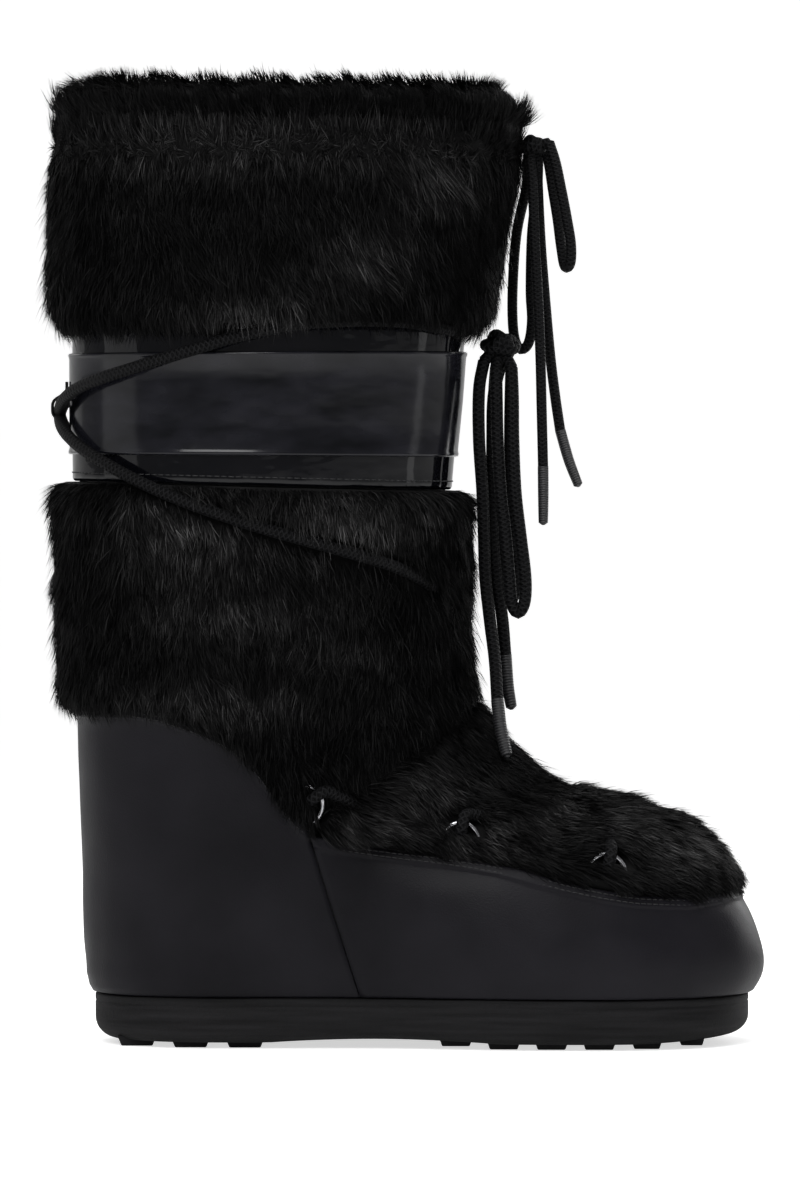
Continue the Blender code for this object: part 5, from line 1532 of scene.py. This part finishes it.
@dataclass
class Furs:
    """The furs of the foot, the ankle and the collar."""

    lace: Parting

    @staticmethod
    def down(points: Array) -> Array:
        """Fibres that hang."""
        return np.tile([0.10, 0.0, -1.0], (len(points), 1))

    @staticmethod
    def forward(points: Array) -> Array:
        """Fibres that lie toward the toe and down the sides."""
        x = np.full(len(points), 0.85)
        return np.stack([x, np.sign(points[:, 1]) * 0.25, np.full(len(points), -0.55)], axis=1)

    @staticmethod
    def collar(points: Array) -> Array:
        """Fibres that hang below the drawcord and stand up over it."""
        up = points[:, 2] > height(1.93) + 0.0025 * waves(points, 0.012, 8)
        return np.stack([np.where(up, -0.25, 0.22), np.zeros(len(points)),
                         np.where(up, 1.0, -1.0)], axis=1)

    @staticmethod
    def astray(points: Array) -> Array:
        """Short fibres that lie every way along the drawcord's groove."""
        turn = 2.2 * waves(points, 0.009, 12)
        along = np.stack([-points[:, 1], points[:, 0], 0 * turn], axis=1)
        along /= np.linalg.norm(along, axis=1, keepdims=True)
        return along * np.sin(turn)[:, None] + np.array([0, 0, 1.0]) * np.cos(turn)[:, None]

    def fur(self, name: str, flow: Flow) -> Fur:
        """One fur of the table, whose fibres follow the given directions."""
        return Fur(name, *COATS[name], flow, self.lace)

    def lay(self, finishes: Finishes, grid_of: Grid, name: str, flow: Flow,
            span: tuple[float, float] = (0.0, 1.0)) -> None:
        """Sows one coat over a fur's grid and makes its fibres.

        Args:
            finishes: the boot's finishes.
            grid_of: gives theta, v and lift of a grid of rows and columns.
            name: the coat's name in the table.
            flow: gives the fibres' directions.
            span: the share of the rows that is sown.
        """
        fur = self.fur(name, flow)
        fur.coat(finishes, *fur.sow(grid_of, span))

    def build(self, finishes: Finishes) -> None:
        """Makes all three furs."""
        self.foot(finishes)
        self.ankle(finishes)
        self.cuff(finishes)

    def foot(self, finishes: Finishes) -> None:
        """The fur over the instep."""
        start = place_at(THROAT[0][0] * BOOT_LENGTH, float(height(THROAT[0][1])))[0]

        def grid_of(rows: int, columns: int) -> tuple[Array, Array, Array]:
            """The fur's grid: theta, v and lift."""
            theta = np.linspace(start, 2 * math.pi - start, columns)
            low = place_under(theta, edge(TOE_EDGE, 0.0008))
            high = place_under(theta, edge(THROAT, -0.0004))
            share = np.linspace(0, 1, rows)[:, None]
            tall = np.linalg.norm(form(theta, high) - form(theta, low), axis=-1)
            thick = FUR_DEEP * np.clip(tall / (1.6 * FUR_DEEP), 0.25, 1)
            swell = 0.40 + 0.42 * np.minimum(1, np.minimum(share, 1 - share) / 0.12) ** 0.5
            return theta + 0 * share, low + (high - low) * share, LAY + thick * swell

        self.fur("instep_fur", self.forward).backing(finishes, grid_of, False)
        self.lay(finishes, grid_of, "instep_fur", self.forward)

    def ankle(self, finishes: Finishes) -> None:
        """The fur round the ankle."""

        def grid_of(rows: int, columns: int) -> tuple[Array, Array, Array]:
            """The fur's grid: theta, v and lift."""
            theta = np.linspace(0, 2 * math.pi, columns)
            low = place_under(theta, edge(HEEL_EDGE + THROAT[1:], 0.0008))
            high = place_under(theta, edge(BAND_LOW, -0.0004))
            share = np.linspace(0, 1, rows)[:, None]
            swell = 0.46 + 0.36 * np.minimum(1, np.minimum(share, 1 - share) / 0.07) ** 0.5
            v = low + (high - low) * share
            return theta + 0 * share, v, LAY + FUR_DEEP * swell + 0 * v

        self.lay(finishes, grid_of, "ankle_edge", self.down, ANKLE_EDGE_SPAN)
        self.fur("ankle_coat", self.down).backing(finishes, grid_of, True)
        for name in ("ankle_coat", "ankle_coat_over"):
            self.lay(finishes, grid_of, name, self.down)

    def cuff(self, finishes: Finishes) -> None:
        """The fur of the collar, with its drawcord groove and the ruffle over it."""

        def grid_of(rows: int, columns: int) -> tuple[Array, Array, Array]:
            """The fur's grid: theta, v and lift."""
            theta = np.linspace(0, 2 * math.pi, columns)
            low = place_under(theta, edge(BAND_HIGH, 0.0002))
            share = np.linspace(0, 1, rows)[:, None]
            v = low + (TOP - 0.02 - low) * share
            swell = 0.46 + 0.38 * np.minimum(1, share / 0.07) ** 0.5
            groove = 0.13 * np.exp(-(((share - 0.875) / 0.03) ** 2))
            return theta + 0 * share, v, LAY + CUFF_DEEP * (swell - groove) + 0 * v

        self.fur("collar_fur", self.collar).backing(finishes, grid_of, True)
        for name in ("collar_fur", "collar_fur_over"):
            self.lay(finishes, grid_of, name, self.collar)
        self.lay(finishes, grid_of, "collar_groove", self.astray, GROOVE_SPAN)
        self.ruffle(finishes)

    def ruffle(self, finishes: Finishes) -> None:
        """The rolled top edge and the fibres that stand on it."""
        theta = np.linspace(0, 2 * math.pi, RUFFLE_COLUMNS, endpoint=False)
        n = normal(theta, TOP + 0 * theta)
        n[:, 2] = 0
        n /= np.linalg.norm(n, axis=1, keepdims=True)
        rim = form(theta, TOP + 0 * theta)
        rows = []
        for bulge, rise in ((0.60, -0.0040), (0.80, 0.0010), (0.74, 0.0050), (0.45, 0.0080),
                            (0.0, 0.0092), (-0.40, 0.0086), (-0.62, 0.0062), (-0.66, 0.0048)):
            points = rim + n * (CUFF_DEEP * bulge)
            points[:, 2] += rise + 0.0009 * np.sin(theta * 17 + 2 * np.sin(theta * 3))
            rows.append(points)
        rows = np.array(rows)
        roll = wrapped("collar_roll", rows, True)
        set_tone(roll.data, np.full(len(roll.data.vertices), BACKING_TONE))
        dress(roll, finishes.fur, "fur", "cuff_fur")
        rng = np.random.default_rng(5)
        column = rng.random(RUFFLE_FIBRES) * RUFFLE_COLUMNS
        row = rng.random(RUFFLE_FIBRES) * 5.6 + 0.3  # from just over the first ring to the sixth
        k, j = column.astype(int) % RUFFLE_COLUMNS, row.astype(int)
        f, g = (column % 1)[:, None], (row % 1)[:, None]
        after = (k + 1) % RUFFLE_COLUMNS
        low = rows[j, k] * (1 - f) + rows[j, after] * f
        high = rows[j + 1, k] * (1 - f) + rows[j + 1, after] * f
        tilt = (row * 0.55)[:, None]
        outs = n[k] * np.cos(tilt) + np.array([0, 0, 1.0]) * np.sin(tilt)
        self.fur("ruffle_fur", self.rising).coat(finishes, low * (1 - g) + high * g, outs)

    @staticmethod
    def rising(points: Array) -> Array:
        """Fibres that stand up and lean a little back."""
        return np.tile([-0.35, 0.0, 1.0], (len(points), 1))


@dataclass
class Studio:
    """The pale floor, the lights and the camera of the photograph."""

    far: float = 3.6
    tilt: float = math.radians(1.3)
    frame_wide: float = 0.356
    frame_tall: float = 0.534
    middle: tuple[float, float, float] = (-0.0021, 0.0, 0.1967)

    def build(self) -> None:
        """Sets up the floor, the lights and the camera."""
        self.camera()
        self.floor()
        bpy.context.scene.view_settings.view_transform = "Standard"
        for lamp in LAMPS:
            self.light(*lamp)

    def camera(self) -> None:
        """The camera, level and far off, as in the photograph."""
        data = bpy.data.cameras.new("camera")
        data.sensor_fit = "VERTICAL"
        data.sensor_height = 24.0
        data.lens = 12.0 / (self.frame_tall / 2 / self.far)
        data.clip_end = 50
        camera = bpy.data.objects.new("camera", data)
        x, y, z = self.middle
        camera.location = (x, y - self.far * math.cos(self.tilt), z + self.far * math.sin(self.tilt))
        camera.rotation_euler = (math.pi / 2 - self.tilt, 0.0, 0.0)
        bpy.context.scene.collection.objects.link(camera)
        bpy.context.scene.camera = camera

    def floor(self) -> None:
        """A pale floor that sweeps up far behind, and an even pale sky."""
        object_mode_clear()
        bpy.ops.mesh.primitive_grid_add(x_subdivisions=1, y_subdivisions=40, size=1)
        floor = bpy.context.active_object
        floor.name = "floor"
        flat, bend = 4.6, 1.2  # the flat part's depth behind the boot, and the sweep's radius
        for vert in floor.data.vertices:
            run = (vert.co.y + 0.5) * 16.0 - 7.0
            turn = min(max(run - flat, 0.0) / bend, math.pi / 2)
            extra = max(run - flat - bend * math.pi / 2, 0.0)
            y = min(run, flat) + bend * math.sin(turn)
            vert.co = Vector((vert.co.x * 16.0, y, bend * (1 - math.cos(turn)) + extra))
        bpy.ops.object.shade_smooth()
        finish = Finish("pale_floor", 0.9, Specular_IOR_Level=0.1)
        finish.shader.inputs["Emission Color"].default_value = (1.0, 1.0, 1.0, 1.0)
        glow = self.by_ray(finish.tree, 0.20, 0.62, 0.12)
        finish.tree.links.new(glow.socket, finish.shader.inputs["Emission Strength"])
        finish.color(finish.noise(2.0, 2), (0.90, 0.90, 0.90), (0.93, 0.93, 0.93))
        floor.data.materials.append(finish.material)
        world = bpy.data.worlds.new("studio")
        world.use_nodes = True
        sky = world.node_tree.nodes["Background"]
        sky.inputs["Color"].default_value = (1, 1, 1, 1)
        glow = self.by_ray(world.node_tree, 0.30, 1.0, 0.20)
        world.node_tree.links.new(glow.socket, sky.inputs["Strength"])
        bpy.context.scene.world = world

    @staticmethod
    def by_ray(tree: bpy.types.NodeTree, plain: float, camera: float, mirror: float) -> Value:
        """A strength that is one number for the camera, one for reflections and one for the rest."""
        path = tree.nodes.new("ShaderNodeLightPath")
        seen = Value(tree, path.outputs["Is Camera Ray"])
        mirrored = Value(tree, path.outputs["Is Glossy Ray"])
        return seen * (camera - plain) + mirrored * (mirror - plain) + plain

    def light(self, name: str, at: Sequence[float], size: Sequence[float], power: float) -> None:
        """A soft box aimed at the middle of the boot."""
        data = bpy.data.lights.new(name, "AREA")
        data.shape = "RECTANGLE"
        data.size, data.size_y = size
        data.energy = power
        lamp = bpy.data.objects.new(name, data)
        lamp.location = at
        aim = Vector((0.0, 0.0, 0.2)) - Vector(at)
        lamp.rotation_euler = aim.to_track_quat("-Z", "Y").to_euler()
        bpy.context.scene.collection.objects.link(lamp)


def dress_kept_nodes(nodes: dict[str, bpy.types.Object], finishes: Finishes) -> None:
    """Gives the CAD nodes that stay their finishes."""
    kept = {"upper": finishes.lining, "insole": finishes.lining}
    for name in nodes:
        if name.startswith("ring_tab_"):
            kept[name] = finishes.webbing
    for name, finish in kept.items():
        obj = nodes[name]
        obj.data.materials.clear()
        obj.data.materials.append(finish.material)
        LOG.info("%s keeps its CAD shape", name)


def main() -> None:
    """Builds the boot's looks in order."""
    logging.basicConfig(level=logging.INFO, format="%(name)s %(message)s")
    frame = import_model()
    finishes = Finishes()
    Studio().build()
    Cords().build(finishes)
    parting = Lacing().build(finishes)
    Outsole().build(finishes)
    Shells().build(finishes)
    Band().build(finishes)
    Keeper().build(finishes)
    Furs(parting).build(finishes)
    dress_kept_nodes(frame["nodes"], finishes)


if __name__ == "__main__":
    main()
